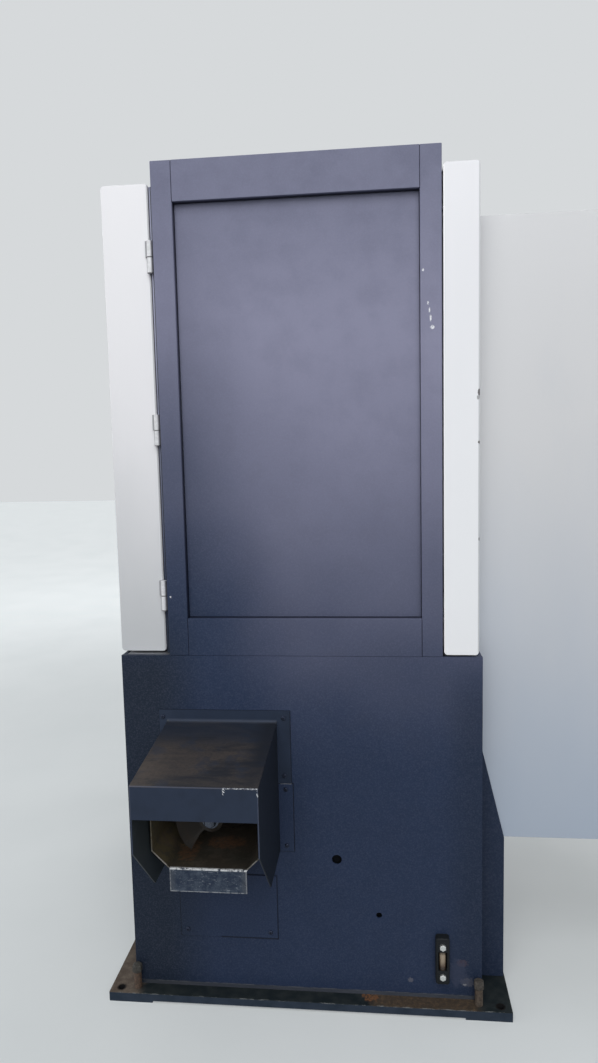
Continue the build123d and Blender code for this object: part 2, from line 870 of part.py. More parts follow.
def make_level_gauge_bolts():
    bolts = []
    for z in gauge_bolt_heights:
        start = (gauge_middle, rear_face - gauge_depth, z)
        shank = rod(start, (0, 1, 0), gauge_bolt_radius, gauge_depth + wall + tank_sheet + gauge_bolt_tail)
        head = hexagon_bar(start, (0, -1, 0), gauge_bolt_head, gauge_bolt_head_height)
        bolts.append(shank + chamfer(head.faces().sort_by(Axis.Y)[0].edges(), gauge_chamfer / 2))
    return Compound(children=bolts)


def make_stile(x0):
    outer = slab((x0, x0 + stile_width), (rear_face, rear_face + stile_depth), (base_top, column_top))
    t = stile_wall
    bore = slab((x0 + t, x0 + stile_width - t), (rear_face + t, rear_face + stile_depth - t),
                (base_top - 1, column_top - t))
    return outer - bore


def make_rail(z0, z1):
    outer = slab((panel_left, panel_right), (rear_face, rear_face + stile_depth), (z0, z1))
    t = stile_wall
    bore = slab((panel_left - 1, panel_right + 1), (rear_face + t, rear_face + stile_depth - t),
                (z0 + t, z1 - t))
    return outer - bore


def make_rear_panel():
    y0 = rear_face + panel_setback
    return slab((panel_left + panel_gap, panel_right - panel_gap), (y0, y0 + panel_thickness),
                (panel_low + panel_gap, panel_top - panel_gap))


def make_hinge_strip():
    return slab((column_left - hinge_strip_width, column_left), (door_rear, door_rear + hinge_strip_depth),
                (base_top, column_top - hinge_strip_drop))


def make_cabinet_roof():
    x = (column_left, column_right)
    y = (rear_face + stile_depth, cabinet_front)
    t = roof_sheet
    roof = slab(x, y, (frame_top, column_top))
    return roof - slab((x[0] + t, x[1] - t), (y[0] + t, y[1] - t), (frame_top - 1, column_top - t))


def front_pintle(z):
    """Lower hinge knuckle with its pin, standing on a lug of the front frame."""
    x = front_hinge_x
    low = z - front_hinge_length / 2
    knuckle = rod((x, front_hinge_y, low), (0, 0, 1), front_hinge_radius, z - hinge_gap - low)
    pin = rod((x, front_hinge_y, low), (0, 0, 1), front_hinge_pin, front_hinge_length - front_hinge_pin)
    lug = slab((column_right - front_hinge_lug, column_right),
               (cabinet_front - front_frame_sheet, front_hinge_y), (low, z - hinge_gap))
    return knuckle + pin + lug


def make_front_frame():
    x = (column_left, column_right)
    y = (cabinet_front - front_frame_depth, cabinet_front)
    t = front_frame_sheet
    post = front_post_width
    low = base_top + front_sill
    high = frame_top - front_header
    frame = slab(x, y, (base_top, frame_top))
    frame -= slab((x[0] + post, x[1] - post), (y[0] - 1, y[1] + 1), (low, high))
    channel = slab((x[0] + t, x[1] - t), (y[0] - 1, y[1] - t), (base_top + t, frame_top - t))
    channel -= slab((x[0] + post - t, x[1] - post + t), (y[0] - 2, y[1]), (low - t, high + t))
    frame -= channel
    for z in front_hinge_heights:
        frame += front_pintle(z)
    return frame


def cover_spacer(start_x, y, z, length):
    """Stand-off that holds a cover clear of the cabinet's side."""
    return rod((start_x, y, z), (1, 0, 0), spacer_radius, length)


def make_right_cover():
    cover = folded_cover((right_cover_left, right_cover_right), (rear_face, cabinet_front),
                         (cover_low, cover_top), -1)
    cover -= slab((right_cover_left - 1, right_cover_right + 1),
                  (infeed_rear, infeed_front), (cover_low - 1, infeed_top))
    for y in (rear_face + cover_lip / 2, cabinet_front - cover_lip / 2):
        for z in (cover_low + spacer_inset, cover_top - spacer_inset):
            cover += cover_spacer(column_right, y, z, right_cover_gap)
    return cover


def make_outfeed_cover():
    rear = door_front + outfeed_cover_gap
    cover = folded_cover((door_left, door_right), (rear, cabinet_front), (cover_low, cover_top), 1)
    cover -= slab((door_left - 1, door_left + cover_sheet + 1), (outfeed_rear, outfeed_front),
                  (outfeed_low, outfeed_high))
    for z in (cover_low + spacer_inset, cover_top - spacer_inset):
        cover += cover_spacer(door_right, cabinet_front - cover_lip / 2, z, left_door_gap)
    return cover


def make_blade_door():
    door = folded_cover((door_left, door_right), (door_rear, door_front), (cover_low, cover_top), 1)
    bore = rod((door_left - 1, latch_y, latch_height), (1, 0, 0), latch_shaft_radius + running_clearance,
               cover_sheet + 2)
    return door - bore


def make_hinge_sockets():
    """Upper knuckles, welded to the door's rear return and bored for the pins."""
    sockets = []
    for z in hinge_heights:
        low = z + hinge_gap
        knuckle = rod((hinge_x, hinge_y, low), (0, 0, 1), hinge_radius, hinge_knuckle)
        lug = slab((door_right - hinge_lug_reach, hinge_x - hinge_pin_radius), (hinge_y, door_rear),
                   (low, low + hinge_knuckle))
        bore = rod((hinge_x, hinge_y, z), (0, 0, 1), hinge_pin_radius + running_clearance, hinge_bore_depth)
        sockets.append(knuckle + lug - bore)
    return Compound(children=sockets)


def make_hinge_pintles():
    """Lower knuckles with their pins, welded to the hinge strip."""
    pintles = []
    for z in hinge_heights:
        low = z - hinge_knuckle
        knuckle = rod((hinge_x, hinge_y, low), (0, 0, 1), hinge_radius, hinge_knuckle)
        lug = slab((hinge_x + hinge_pin_radius, column_left), (hinge_y, door_rear), (low, z))
        pin = rod((hinge_x, hinge_y, low), (0, 0, 1), hinge_pin_radius, hinge_knuckle + hinge_pin_height)
        pintles.append(knuckle + lug + pin)
    return Compound(children=pintles)


def make_door_latch():
    z = latch_height
    start = door_left - latch_reach
    tongue_x = door_left + cover_sheet + latch_tongue_gap
    tongue_end = tongue_x + latch_tongue_thickness
    shaft = rod((start, latch_y, z), (1, 0, 0), latch_shaft_radius, tongue_end - start)
    grip = rod((start, latch_y, z - latch_grip_length / 2), (0, 0, 1), latch_grip_radius, latch_grip_length)
    grip = chamfer(grip.edges().filter_by(GeomType.CIRCLE), latch_grip_chamfer)
    half = latch_tongue_width / 2
    tongue = slab((tongue_x, tongue_end), (latch_y - half, latch_y + half),
                  (z - half, z - half + latch_tongue_length))
    return shaft + grip + tongue


def make_guide_rail(x):
    """Profiled rail with a waisted flank on both sides."""
    flank = [(0, 0), (0, rail_foot_height), (rail_notch, rail_waist_height), (0, rail_head_height),
             (0, rail_height)]
    half = rail_width / 2
    left = [(x - half + inward, base_top + rise) for inward, rise in flank]
    right = [(x + half - inward, base_top + rise) for inward, rise in reversed(flank)]
    return along_y(left + right, saddle_rear - rail_rear_overhang,
                   saddle_front + head_stroke + rail_front_overhang)


def make_head_saddle():
    plate = slab((saddle_left, saddle_left + saddle_width), (saddle_rear, saddle_front),
                 (saddle_low, saddle_top))
    half = rail_block_width / 2
    reach = rail_width / 2 + slide_gap
    for x in (rail_left_x, rail_right_x):
        for y in (saddle_rear + rail_block_inset, saddle_front - rail_block_inset - rail_block_length):
            block = slab((x - half, x + half), (y, y + rail_block_length),
                         (base_top + rail_block_lift, saddle_low))
            block -= slab((x - reach, x + reach), (y - 1, y + rail_block_length + 1),
                          (base_top, rail_top + slide_gap))
            plate += block
    nut_rear = saddle_front - nut_setback - nut_length
    nut = slab((screw_x - nut_width / 2, screw_x + nut_width / 2), (nut_rear, nut_rear + nut_length),
               (screw_z - nut_drop, saddle_low))
    nut -= rod((screw_x, nut_rear - 1, screw_z), (0, 1, 0), screw_shaft_radius + running_clearance,
               nut_length + 2)
    return plate + nut


def make_gearbox_housing():
    """Casting round the spindle nose and the large gear, standing on a foot."""
    nose = Pos(blade_y, bar_height) * Circle(nose_radius)
    back = Pos(gearbox_y, gearbox_z) * Circle(gearbox_radius)
    outline = make_hull((nose + back).edges())
    case = extrude(Plane.YZ.offset(gearbox_left) * outline, amount=gearbox_length)
    case = chamfer(case.faces().sort_by(Axis.X)[0].edges(), gearbox_chamfer)
    case += slab((saddle_left + gearbox_foot_inset_x, gearbox_right),
                 (saddle_rear + gearbox_foot_inset_y, saddle_front - gearbox_foot_inset_y),
                 (saddle_top, bar_height - gearbox_foot_drop))
    case -= rod((gearbox_left - 1, blade_y, bar_height), (1, 0, 0), spindle_radius + running_clearance,
                spindle_seat + 1)
    case -= rod((gearbox_left - 1, brush_y, brush_z), (1, 0, 0), brush_shaft_radius + running_clearance,
                brush_shaft_seat + 1)
    return case


def make_main_motor():
    x0 = gearbox_right
    fan_x = x0 + motor_length - fan_cover_length
    core = motor_radius - fin_height
    motor = rod((x0, gearbox_y, gearbox_z), (1, 0, 0), core, motor_length)
    motor += rod((x0, gearbox_y, gearbox_z), (1, 0, 0), motor_radius + motor_flange_reach,
                 motor_flange_thickness)
    fan_cover = rod((fan_x, gearbox_y, gearbox_z), (1, 0, 0), motor_radius, fan_cover_length)
    motor += chamfer(fan_cover.faces().sort_by(Axis.X)[-1].edges(), fan_cover_chamfer)
    fin = slab((x0 + motor_flange_thickness, fan_x), (-fin_thickness / 2, fin_thickness / 2),
               (core - 1, motor_radius))
    for i in range(motor_fins):
        motor += Pos(0, gearbox_y, gearbox_z) * Rot(360 * i / motor_fins, 0, 0) * fin
    box_x = x0 + terminal_box_start
    half = terminal_box_width / 2
    box = slab((box_x, box_x + terminal_box_length), (gearbox_y - half, gearbox_y + half),
               (gearbox_z + core - fin_height, gearbox_z + motor_radius + terminal_box_rise))
    return motor + fillet(box.edges().filter_by(Axis.Z), terminal_box_corner)


def make_saw_spindle():
    start = (blade_face, blade_y, bar_height)
    flange_end = gearbox_left - spindle_gap
    shaft_end = gearbox_left + spindle_seat - spindle_gap
    flange = rod(start, (1, 0, 0), clamp_radius, flange_end - blade_face)
    shaft = rod(start, (1, 0, 0), spindle_radius, shaft_end - blade_face)
    pilot = rod(start, (-1, 0, 0), pilot_radius, blade_thickness + clamp_thickness + pilot_reach)
    return flange + shaft + pilot


def make_saw_blade():
    """Toothed disc: each tooth has a tip, a long back and a gullet before the next tip."""
    points = []
    root = blade_radius - tooth_depth
    for i in range(blade_teeth):
        for radius, turn in ((blade_radius, 0), (root, tooth_back_turn), (root, gullet_turn)):
            angle = 2 * math.pi * (i + turn) / blade_teeth
            points.append((radius * math.cos(angle), radius * math.sin(angle)))
    disc = make_face(Polyline(*points, close=True)) - Circle(pilot_radius)
    return Plane.YZ.offset(blade_x - blade_thickness / 2) * Pos(blade_y, bar_height) * extrude(
        disc, amount=blade_thickness)


def make_clamp_flange():
    start = blade_x - blade_thickness / 2
    ring = rod((start, blade_y, bar_height), (-1, 0, 0), clamp_radius, clamp_thickness)
    ring = chamfer(ring.faces().sort_by(Axis.X)[0].edges(), clamp_chamfer)
    ring -= rod((start + 1, blade_y, bar_height), (-1, 0, 0), pilot_radius, clamp_thickness + 2)
    for i in range(clamp_bolts):
        turn = 2 * math.pi * i / clamp_bolts
        y = blade_y + clamp_bolt_circle * math.cos(turn)
        z = bar_height + clamp_bolt_circle * math.sin(turn)
        ring += hexagon_bar((start - clamp_thickness, y, z), (-1, 0, 0), clamp_bolt_radius, clamp_bolt_height)
    return ring


def make_chip_brush():
    wheel = rod((brush_left, brush_y, brush_z), (1, 0, 0), brush_radius, brush_width)
    half = brush_slot_width / 2
    cut = slab((brush_left - 1, brush_left + brush_width + 1), (-half, half),
               (brush_core_radius, brush_radius + 1))
    for i in range(brush_slots):
        wheel -= Pos(0, brush_y, brush_z) * Rot(360 * i / brush_slots, 0, 0) * cut
    start = brush_left - brush_shaft_tail
    shaft_end = gearbox_left + brush_shaft_seat
    return wheel + rod((start, brush_y, brush_z), (1, 0, 0), brush_shaft_radius, shaft_end - start)


def make_feed_screw():
    thread = rod((screw_x, screw_rear, screw_z), (0, 1, 0), screw_shaft_radius, screw_front - screw_rear)
    journal = rod((screw_x, screw_rear, screw_z), (0, -1, 0), screw_journal_radius,
                  bearing_block_length + screw_journal_tail)
    return chamfer(thread.faces().sort_by(Axis.Y)[-1].edges(), screw_chamfer) + journal


def make_screw_servo():
    y1 = screw_rear - slide_gap
    y0 = y1 - bearing_block_length
    half = servo_width / 2
    rise = servo_height / 2
    block = slab((screw_x - half, screw_x + half), (y0, y1), (base_top, screw_z + bearing_block_rise))
    motor = slab((screw_x - half, screw_x + half), (y0 - servo_length, y0), (screw_z - rise, screw_z + rise))
    motor = fillet(motor.edges().filter_by(Axis.Y), servo_corner)
    bore = rod((screw_x, y1 + 1, screw_z), (0, -1, 0), screw_journal_radius + running_clearance,
               bearing_block_length + screw_journal_tail + 2)
    return block + motor - bore


def make_vise_bed():
    """C-shaped bed: a floor split by the blade's slot, a back wall and an arm over the bar."""
    back = bed_front - bed_back_wall
    bed = along_x([(bed_rear, base_top), (bed_front, base_top), (bed_front, arm_top), (bed_rear, arm_top),
                   (bed_rear, arm_low), (back, arm_low), (back, bar_bottom), (bed_rear, bar_bottom)],
                  slot_right, bed_right)
    bed += slab((bed_left, blade_x - bed_slot / 2), (bed_rear, bed_front), (base_top, bar_bottom))
    bed += slab((bed_left, bed_right), (bed_front - bed_bridge, bed_front), (base_top, bar_bottom))
    return bed - rod((clamp_x, bar_y, arm_low - 1), (0, 0, 1), clamp_rod_radius + running_clearance,
                     clamp_arm_height + 2)


def make_clamp_cylinder():
    length = clamp_rod_top + clamp_cylinder_cap - arm_top
    cylinder = rod((clamp_x, bar_y, arm_top), (0, 0, 1), clamp_cylinder_radius, length)
    cylinder = chamfer(cylinder.faces().sort_by(Axis.Z)[-1].edges(), clamp_cylinder_chamfer)
    return cylinder - rod((clamp_x, bar_y, arm_top - 1), (0, 0, 1), clamp_rod_radius + running_clearance,
                          clamp_rod_top + 2 - arm_top)


def make_vise_jaw():
    half = clamp_jaw_width / 2
    middle = clamp_x - clamp_jaw_offset
    jaw = slab((middle - half, middle + half), (bar_y - half, bar_y + half),
               (clamp_jaw_low, clamp_jaw_low + clamp_jaw_height))
    jaw = chamfer(jaw.edges().filter_by(Axis.Z), clamp_jaw_chamfer)
    return jaw + rod((clamp_x, bar_y, clamp_jaw_low), (0, 0, 1), clamp_rod_radius,
                     clamp_rod_top - clamp_jaw_low)


def make_infeed_beam():
    y = (bar_y - beam_half_width, bar_y + beam_half_width)
    t = beam_wall
    beam = slab((beam_start, beam_end), y, (base_top, beam_top))
    return beam - slab((beam_start - 1, beam_end + 1), (y[0] + t, y[1] - t),
                       (base_top + t, beam_top - beam_top_wall))


def make_enclosure_shell():
    """Sheet hood over the infeed beam, open below and towards the column."""
    y = (enclosure_rear, cabinet_front)
    t = enclosure_sheet
    shell = slab((base_right, enclosure_right), y, (enclosure_low, enclosure_top))
    return shell - slab((base_right - 1, enclosure_right + 1), (y[0] + t, y[1] - t),
                        (enclosure_low - 1, enclosure_top - t))


def make_enclosure_end_panel():
    t = enclosure_sheet
    y = (enclosure_rear + t, cabinet_front - t)
    x = (enclosure_right - end_panel_sheet, enclosure_right)
    sheet = slab(x, y, (enclosure_low, enclosure_top - t))
    return sheet - rod((x[0] - 1, bar_y, bar_height), (1, 0, 0), bar_inlet_radius, end_panel_sheet + 2)


def make_feed_carriage():
    """Slide with the fixed jaw and the cylinder that works the moving jaw."""
    y = (bar_y - beam_half_width, bar_y + beam_half_width)
    jaw_x = (carriage_left, carriage_left + feed_jaw_length)
    carriage = slab((carriage_left, carriage_right), y, (carriage_low, carriage_top))
    jaw_face = bar_y - bar_radius
    carriage += slab(jaw_x, (jaw_face - feed_jaw_thickness, jaw_face), (carriage_top, jaw_top))
    carriage += slab(jaw_x, (y[1] - feed_block_thickness, y[1]), (carriage_top, jaw_top))
    end = feed_rod_end + feed_cylinder_cap
    carriage += rod((feed_rod_x, y[1], bar_height), (0, 1, 0), feed_cylinder_radius, end - y[1])
    bore_start = y[1] - feed_block_thickness - 1
    return carriage - rod((feed_rod_x, bore_start, bar_height), (0, 1, 0),
                          feed_rod_radius + running_clearance, feed_rod_end + 1 - bore_start)


def make_feed_jaw():
    jaw = slab((carriage_left, carriage_left + feed_jaw_length),
               (feed_jaw_near, feed_jaw_near + feed_jaw_width), (carriage_top + slide_gap, jaw_top))
    return jaw + rod((feed_rod_x, feed_jaw_near, bar_height), (0, 1, 0), feed_rod_radius,
                     feed_rod_end - feed_jaw_near)


def make_front_door():
    x = (front_door_left, front_door_right)
    y = (front_door_rear, front_door_front)
    t = front_door_sheet
    half = window_width / 2
    rim = window_rim
    rebate = window_rebate
    skin = y[1] - t
    door = slab(x, y, (front_door_low, front_door_top))
    door -= slab((x[0] + t, x[1] - t), (y[0] - 1, skin), (front_door_low + t, front_door_top - t))
    door += slab((window_x - half - rim, window_x + half + rim), (skin - window_frame_depth, y[1]),
                 (window_low - rim, window_top + rim))
    door -= slab((window_x - half, window_x + half), (y[0] - 1, y[1] + 1), (window_low, window_top))
    door -= slab((window_x - half - rebate, window_x + half + rebate), (skin - window_frame_depth - 1, skin),
                 (window_low - rebate, window_top + rebate))
    for z in front_hinge_heights:
        door = door + front_hinge_strap(z)
    return door + front_handle()


def front_hinge_strap(z):
    """Upper hinge knuckle with its strap, bored for the pin of the front frame."""
    low = z + hinge_gap
    top = z + front_hinge_length / 2
    knuckle = rod((front_hinge_x, front_hinge_y, low), (0, 0, 1), front_hinge_radius, top - low)
    strap = slab((front_door_right - front_strap_reach, front_hinge_x),
                 (front_door_front, front_door_front + front_strap_thickness), (low, top))
    bore = rod((front_hinge_x, front_hinge_y, z), (0, 0, 1), front_hinge_pin + running_clearance,
               front_hinge_length / 2 - front_hinge_pin / 2)
    return knuckle + strap - bore


def front_handle():
    """Bar grip on two posts."""
    x = front_door_left + handle_inset
    low = (window_low + window_top - handle_length) / 2
    handle = rod((x, front_door_front + handle_reach, low), (0, 0, 1), handle_radius, handle_length)
    for z in (low + handle_post_inset, low + handle_length - handle_post_inset):
        handle += rod((x, front_door_front, z), (0, 1, 0), handle_post_radius, handle_reach)
    return handle


def make_front_window():
    edge = window_rebate - slide_gap
    half = window_width / 2 + edge
    skin = front_door_front - front_door_sheet
    return slab((window_x - half, window_x + half), (skin - window_thickness, skin),
                (window_low - edge, window_top + edge))


def make_control_box():
    box_top = panel_box_low + panel_box_height
    box = slab((box_left, box_right), (box_rear, box_front), (panel_box_low, box_top))
    box = fillet(box.edges().filter_by(Axis.Y), panel_box_corner)
    middle = (box_left + box_right) / 2
    screen_top = box_top - screen_drop
    box -= slab((middle - screen_width / 2, middle + screen_width / 2),
                (box_front - screen_recess, box_front + 1), (screen_top - screen_height, screen_top))
    stop_depth = stop_neck_seat + stop_travel + button_floor_gap
    start_depth = start_seat + start_travel + button_floor_gap
    box -= rod((stop_x, box_front + 1, button_z), (0, -1, 0), stop_neck_radius + running_clearance,
               stop_depth + 1)
    box -= rod((start_x, box_front + 1, button_z), (0, -1, 0), start_radius + running_clearance,
               start_depth + 1)
    return box


def make_emergency_stop():
    cap_y = box_front + stop_travel + stop_gap
    neck = rod((stop_x, box_front - stop_neck_seat, button_z), (0, 1, 0), stop_neck_radius,
               cap_y - box_front + stop_neck_seat)
    cap = rod((stop_x, cap_y, button_z), (0, 1, 0), stop_radius, stop_cap_height)
    return neck + chamfer(cap.faces().sort_by(Axis.Y)[-1].edges(), stop_cap_chamfer)


def make_start_button():
    button = rod((start_x, box_front - start_seat, button_z), (0, 1, 0), start_radius,
                 start_seat + start_proud)
    return chamfer(button.faces().sort_by(Axis.Y)[-1].edges(), start_chamfer)


nodes = {
    "foot_plate": make_foot_plate(),
    "floor_pads": make_floor_pads(),
    "jack_bolts": make_jack_bolts(),
    "base_rear_wall": make_base_rear_wall(),
    "base_left_wall": make_base_left_wall(),
    "base_right_wall": make_base_right_wall(),
    "base_front_wall": make_base_front_wall(),
    "base_table": make_base_table(),
    "side_gusset": make_side_gusset(),
    "chip_hood": make_chip_hood(),
    "hood_side_trims": make_hood_side_trims(),
    "lower_cover": make_lower_cover(),
    "cover_screws": make_cover_screws(),
    "chip_trough": make_chip_trough(),
    "chip_auger": make_chip_auger(),
    "auger_end_bolt": make_auger_end_bolt(),
    "auger_gearmotor": make_auger_gearmotor(),
    "fluid_tank": make_fluid_tank(),
    "level_gauge_body": make_level_gauge_body(),
    "level_gauge_tube": make_level_gauge_tube(),
    "level_gauge_bolts": make_level_gauge_bolts(),
    "left_stile": make_stile(column_left),
    "right_stile": make_stile(column_right - stile_width),
    "top_rail": make_rail(panel_top, column_top),
    "bottom_rail": make_rail(base_top, panel_low),
    "rear_panel": make_rear_panel(),
    "hinge_strip": make_hinge_strip(),
    "cabinet_roof": make_cabinet_roof(),
    "front_frame": make_front_frame(),
    "right_cover": make_right_cover(),
    "outfeed_cover": make_outfeed_cover(),
    "blade_door": make_blade_door(),
    "hinge_sockets": make_hinge_sockets(),
    "hinge_pintles": make_hinge_pintles(),
    "door_latch": make_door_latch(),
    "left_guide_rail": make_guide_rail(rail_left_x),
    "right_guide_rail": make_guide_rail(rail_right_x),
    "head_saddle": make_head_saddle(),
    "gearbox_housing": make_gearbox_housing(),
    "main_motor": make_main_motor(),
    "saw_spindle": make_saw_spindle(),
    "saw_blade": make_saw_blade(),
    "clamp_flange": make_clamp_flange(),
    "chip_brush": make_chip_brush(),
    "feed_screw": make_feed_screw(),
    "screw_servo": make_screw_servo(),
    "vise_bed": make_vise_bed(),
    "clamp_cylinder": make_clamp_cylinder(),
    "vise_jaw": make_vise_jaw(),
    "infeed_beam": make_infeed_beam(),
    "feed_carriage": make_feed_carriage(),
    "feed_jaw": make_feed_jaw(),
    "enclosure_shell": make_enclosure_shell(),
    "enclosure_end_panel": make_enclosure_end_panel(),
    "front_door": make_front_door(),
    "front_window": make_front_window(),
    "control_box": make_control_box(),
    "emergency_stop": make_emergency_stop(),
    "start_button": make_start_button(),
}

os.makedirs("parts", exist_ok=True)
for name, shape in nodes.items():
    export_step(shape, f"parts/{name}.step")
print(len(nodes), "sub-parts written")
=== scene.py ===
# %% [markdown]
# # An automatic sawing machine
#
# The machine stands with its rear towards us. Its solids come ready made and at their real size,
# in metres, with the floor at z = 0. This lesson gives them their looks: rounded edges, paint,
# rust and oil, and the small things that a solid model leaves out, such as threads.
# It could all be one long material per piece, but short cells are easier to follow and to change.

# %% Load the solids
import json
import math

import bpy
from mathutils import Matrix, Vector

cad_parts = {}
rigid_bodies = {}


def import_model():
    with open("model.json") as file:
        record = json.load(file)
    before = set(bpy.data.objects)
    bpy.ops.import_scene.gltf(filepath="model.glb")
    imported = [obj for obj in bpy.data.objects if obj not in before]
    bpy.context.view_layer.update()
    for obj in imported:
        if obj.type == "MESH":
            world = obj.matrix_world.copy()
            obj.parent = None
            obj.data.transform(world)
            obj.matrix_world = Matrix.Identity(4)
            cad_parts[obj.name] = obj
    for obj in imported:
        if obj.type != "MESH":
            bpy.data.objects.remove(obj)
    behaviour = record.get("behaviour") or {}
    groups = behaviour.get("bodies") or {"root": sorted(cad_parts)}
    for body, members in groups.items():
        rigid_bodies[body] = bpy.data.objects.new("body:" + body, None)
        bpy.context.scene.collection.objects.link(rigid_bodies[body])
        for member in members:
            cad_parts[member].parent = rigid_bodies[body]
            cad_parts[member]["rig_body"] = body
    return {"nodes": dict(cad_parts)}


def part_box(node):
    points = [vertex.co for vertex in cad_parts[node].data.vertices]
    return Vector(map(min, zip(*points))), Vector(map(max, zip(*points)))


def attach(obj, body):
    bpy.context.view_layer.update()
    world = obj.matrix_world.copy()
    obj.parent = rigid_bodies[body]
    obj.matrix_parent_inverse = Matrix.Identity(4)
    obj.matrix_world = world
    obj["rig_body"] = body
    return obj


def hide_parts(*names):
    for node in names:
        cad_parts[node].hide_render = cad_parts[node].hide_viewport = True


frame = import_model()
scene = bpy.context.scene
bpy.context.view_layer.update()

# %% [markdown]
# The camera comes first, because everything after it is judged through it. It stands about
# 1.85 m behind the machine at chest height, turned a little to the left and tilted a little
# down. A lens of 26 mm on a 36 mm tall picture gives the strong perspective of a telephone's
# camera.

# %% Camera
eye = Vector((-0.084, -2.364, 1.423))
tilt, roll, turn = 83.849, 1.283, 5.912
focal_rows, picture_rows = 768, 1063
camera_data = bpy.data.cameras.new("camera")
camera_data.sensor_width = 36.0
camera_data.lens = focal_rows / picture_rows * camera_data.sensor_width
camera_data.clip_start = 0.05
camera = bpy.data.objects.new("camera", camera_data)
camera.location = eye
camera.rotation_euler = [math.radians(angle) for angle in (tilt, roll, turn)]
scene.collection.objects.link(camera)
scene.camera = camera
print("lens in mm:", round(camera_data.lens, 2))

# %% [markdown]
# Next come a few helpers for materials. A procedural material is a small network of nodes:
# noises make patterns, ranges turn them into masks, and mixes lay one colour over another.
# Typing each node in full would hide the idea, so each helper makes one kind of node and
# hands back its output. An output knows its own network as id_data, so only the helpers that
# start from nothing are told the tree. All patterns read Object coordinates, which are metres
# on the machine.


# %% Helpers for material nodes
def feed(value, socket):
    """Gives a socket a number, a colour or the output of another node."""
    if isinstance(value, bpy.types.NodeSocket):
        socket.id_data.links.new(value, socket)
    else:
        socket.default_value = value


def plug(node, inputs):
    """Feeds several inputs of one node, each under its name or number."""
    for key, value in inputs.items():
        feed(value, node.inputs[key])


def add(tree, kind, inputs, **settings):
    """Makes a node, sets its options and feeds its inputs."""
    made = tree.nodes.new("ShaderNode" + kind)
    for key, value in settings.items():
        setattr(made, key, value)
    plug(made, inputs)
    return made


def place(tree):
    """The point on the piece, in metres."""
    if "place" not in tree.nodes:
        tree.nodes.new("ShaderNodeTexCoord").name = "place"
    return tree.nodes["place"].outputs["Object"]


def sums(work, first, second=0.0, third=0.0):
    """One step of arithmetic, such as ADD or MULTIPLY."""
    return add(first.id_data, "Math", {0: first, 1: second, 2: third}, operation=work).outputs[0]


def times_plus(value, factor, more):
    """The value times a factor, plus something more."""
    return sums("MULTIPLY_ADD", value, factor, more)


def fade(value, low, high):
    """0 at low, 1 at high, and a smooth change between them."""
    inputs = {"Value": value, "From Min": low, "From Max": high}
    return add(value.id_data, "MapRange", inputs, interpolation_type="SMOOTHSTEP").outputs[0]


def cloud(tree, size, detail=3.0, rough=0.55, stretch=(1, 1, 1), warp=0.0):
    """Noise from 0 to 1 whose blotches are about size metres across."""
    mapped = add(tree, "Mapping", {"Vector": place(tree), "Scale": stretch}).outputs[0]
    inputs = {"Vector": mapped, "Scale": 1 / size, "Detail": detail, "Roughness": rough, "Distortion": warp}
    return add(tree, "TexNoise", inputs).outputs[0]


def patches(tree, low, high, *noise, **more_noise):
    """Mask from noise, 0 where the noise is below low and 1 above high."""
    return fade(cloud(tree, *noise, **more_noise), low, high)


def along(tree, axis):
    """One coordinate of the point: X, Y or Z."""
    return add(tree, "SeparateXYZ", {0: place(tree)}).outputs[axis]


def ramp(tree, axis, low, high):
    """A fade between two places along one axis."""
    return fade(along(tree, axis), low, high)


def stripe(tree, axis, middle, half, soft):
    """Mask of a band across one axis that fades out over soft."""
    gap = sums("ABSOLUTE", sums("SUBTRACT", along(tree, axis), middle))
    return fade(gap, half + soft, half)


def spot(tree, centre, radius, ragged, stretch=(1, 1, 1)):
    """Mask of a blotch round a place, with an outline that noise makes uneven."""
    away = add(tree, "VectorMath", {0: place(tree), 1: centre}, operation="SUBTRACT").outputs[0]
    away = add(tree, "VectorMath", {0: away, 1: stretch}, operation="MULTIPLY").outputs[0]
    gap = add(tree, "VectorMath", {0: away}, operation="LENGTH").outputs["Value"]
    gap = times_plus(cloud(tree, radius * 0.5), 2 * ragged * radius, gap)
    return fade(gap, radius * (1.25 + ragged), radius * (0.85 + ragged))


def both(first, *others):
    """Mask that is 1 only where all of the masks are."""
    for other in others:
        first = sums("MULTIPLY", first, other)
    return first


def between(value, start, full, last, end):
    """Mask that grows from start to full, stays 1 until last and is gone at end."""
    return both(fade(value, start, full), fade(value, end, last))


def part_of(mask, share):
    """A weaker mask: share of 0.3 leaves three tenths of it."""
    return sums("MULTIPLY", mask, share)


def either(first, *others):
    """Mask that is 1 where at least one of the masks is."""
    for other in others:
        first = sums("MAXIMUM", first, other)
    return first


def boxed(tree, left, right, low, high, soft):
    """Mask that is 1 inside a rectangle on the rear face and fades out over soft."""
    across = between(along(tree, "X"), left - soft, left, right, right + soft)
    upward = between(along(tree, "Z"), low - soft, low, high, high + soft)
    return both(across, upward)


def outline(tree, left, right, low, high, half, soft):
    """Mask of a thin line round a rectangle on the rear face."""
    outer = boxed(tree, left - half, right + half, low - half, high + half, soft)
    inner = boxed(tree, left + half, right - half, low + half, high - half, soft)
    return sums("SUBTRACT", outer, inner)


def lay(mask, under, over):
    """Mixes a colour or a number over another where the mask is 1."""
    if isinstance(over, (int, float)):
        return add(mask.id_data, "Mix", {0: mask, 2: under, 3: over}, data_type="FLOAT").outputs[0]
    return add(mask.id_data, "Mix", {0: mask, 6: under, 7: over}, data_type="RGBA").outputs[2]


def tint(under, mask, over, share):
    """Lays only a share of one tone over another where the mask is 1."""
    return lay(part_of(mask, share), under, over)


def layered(under, layers):
    """Lays several tones down one by one; each layer is its mask, its tone and its share."""
    for mask, over, share in layers:
        under = tint(under, mask, over, share)
    return under


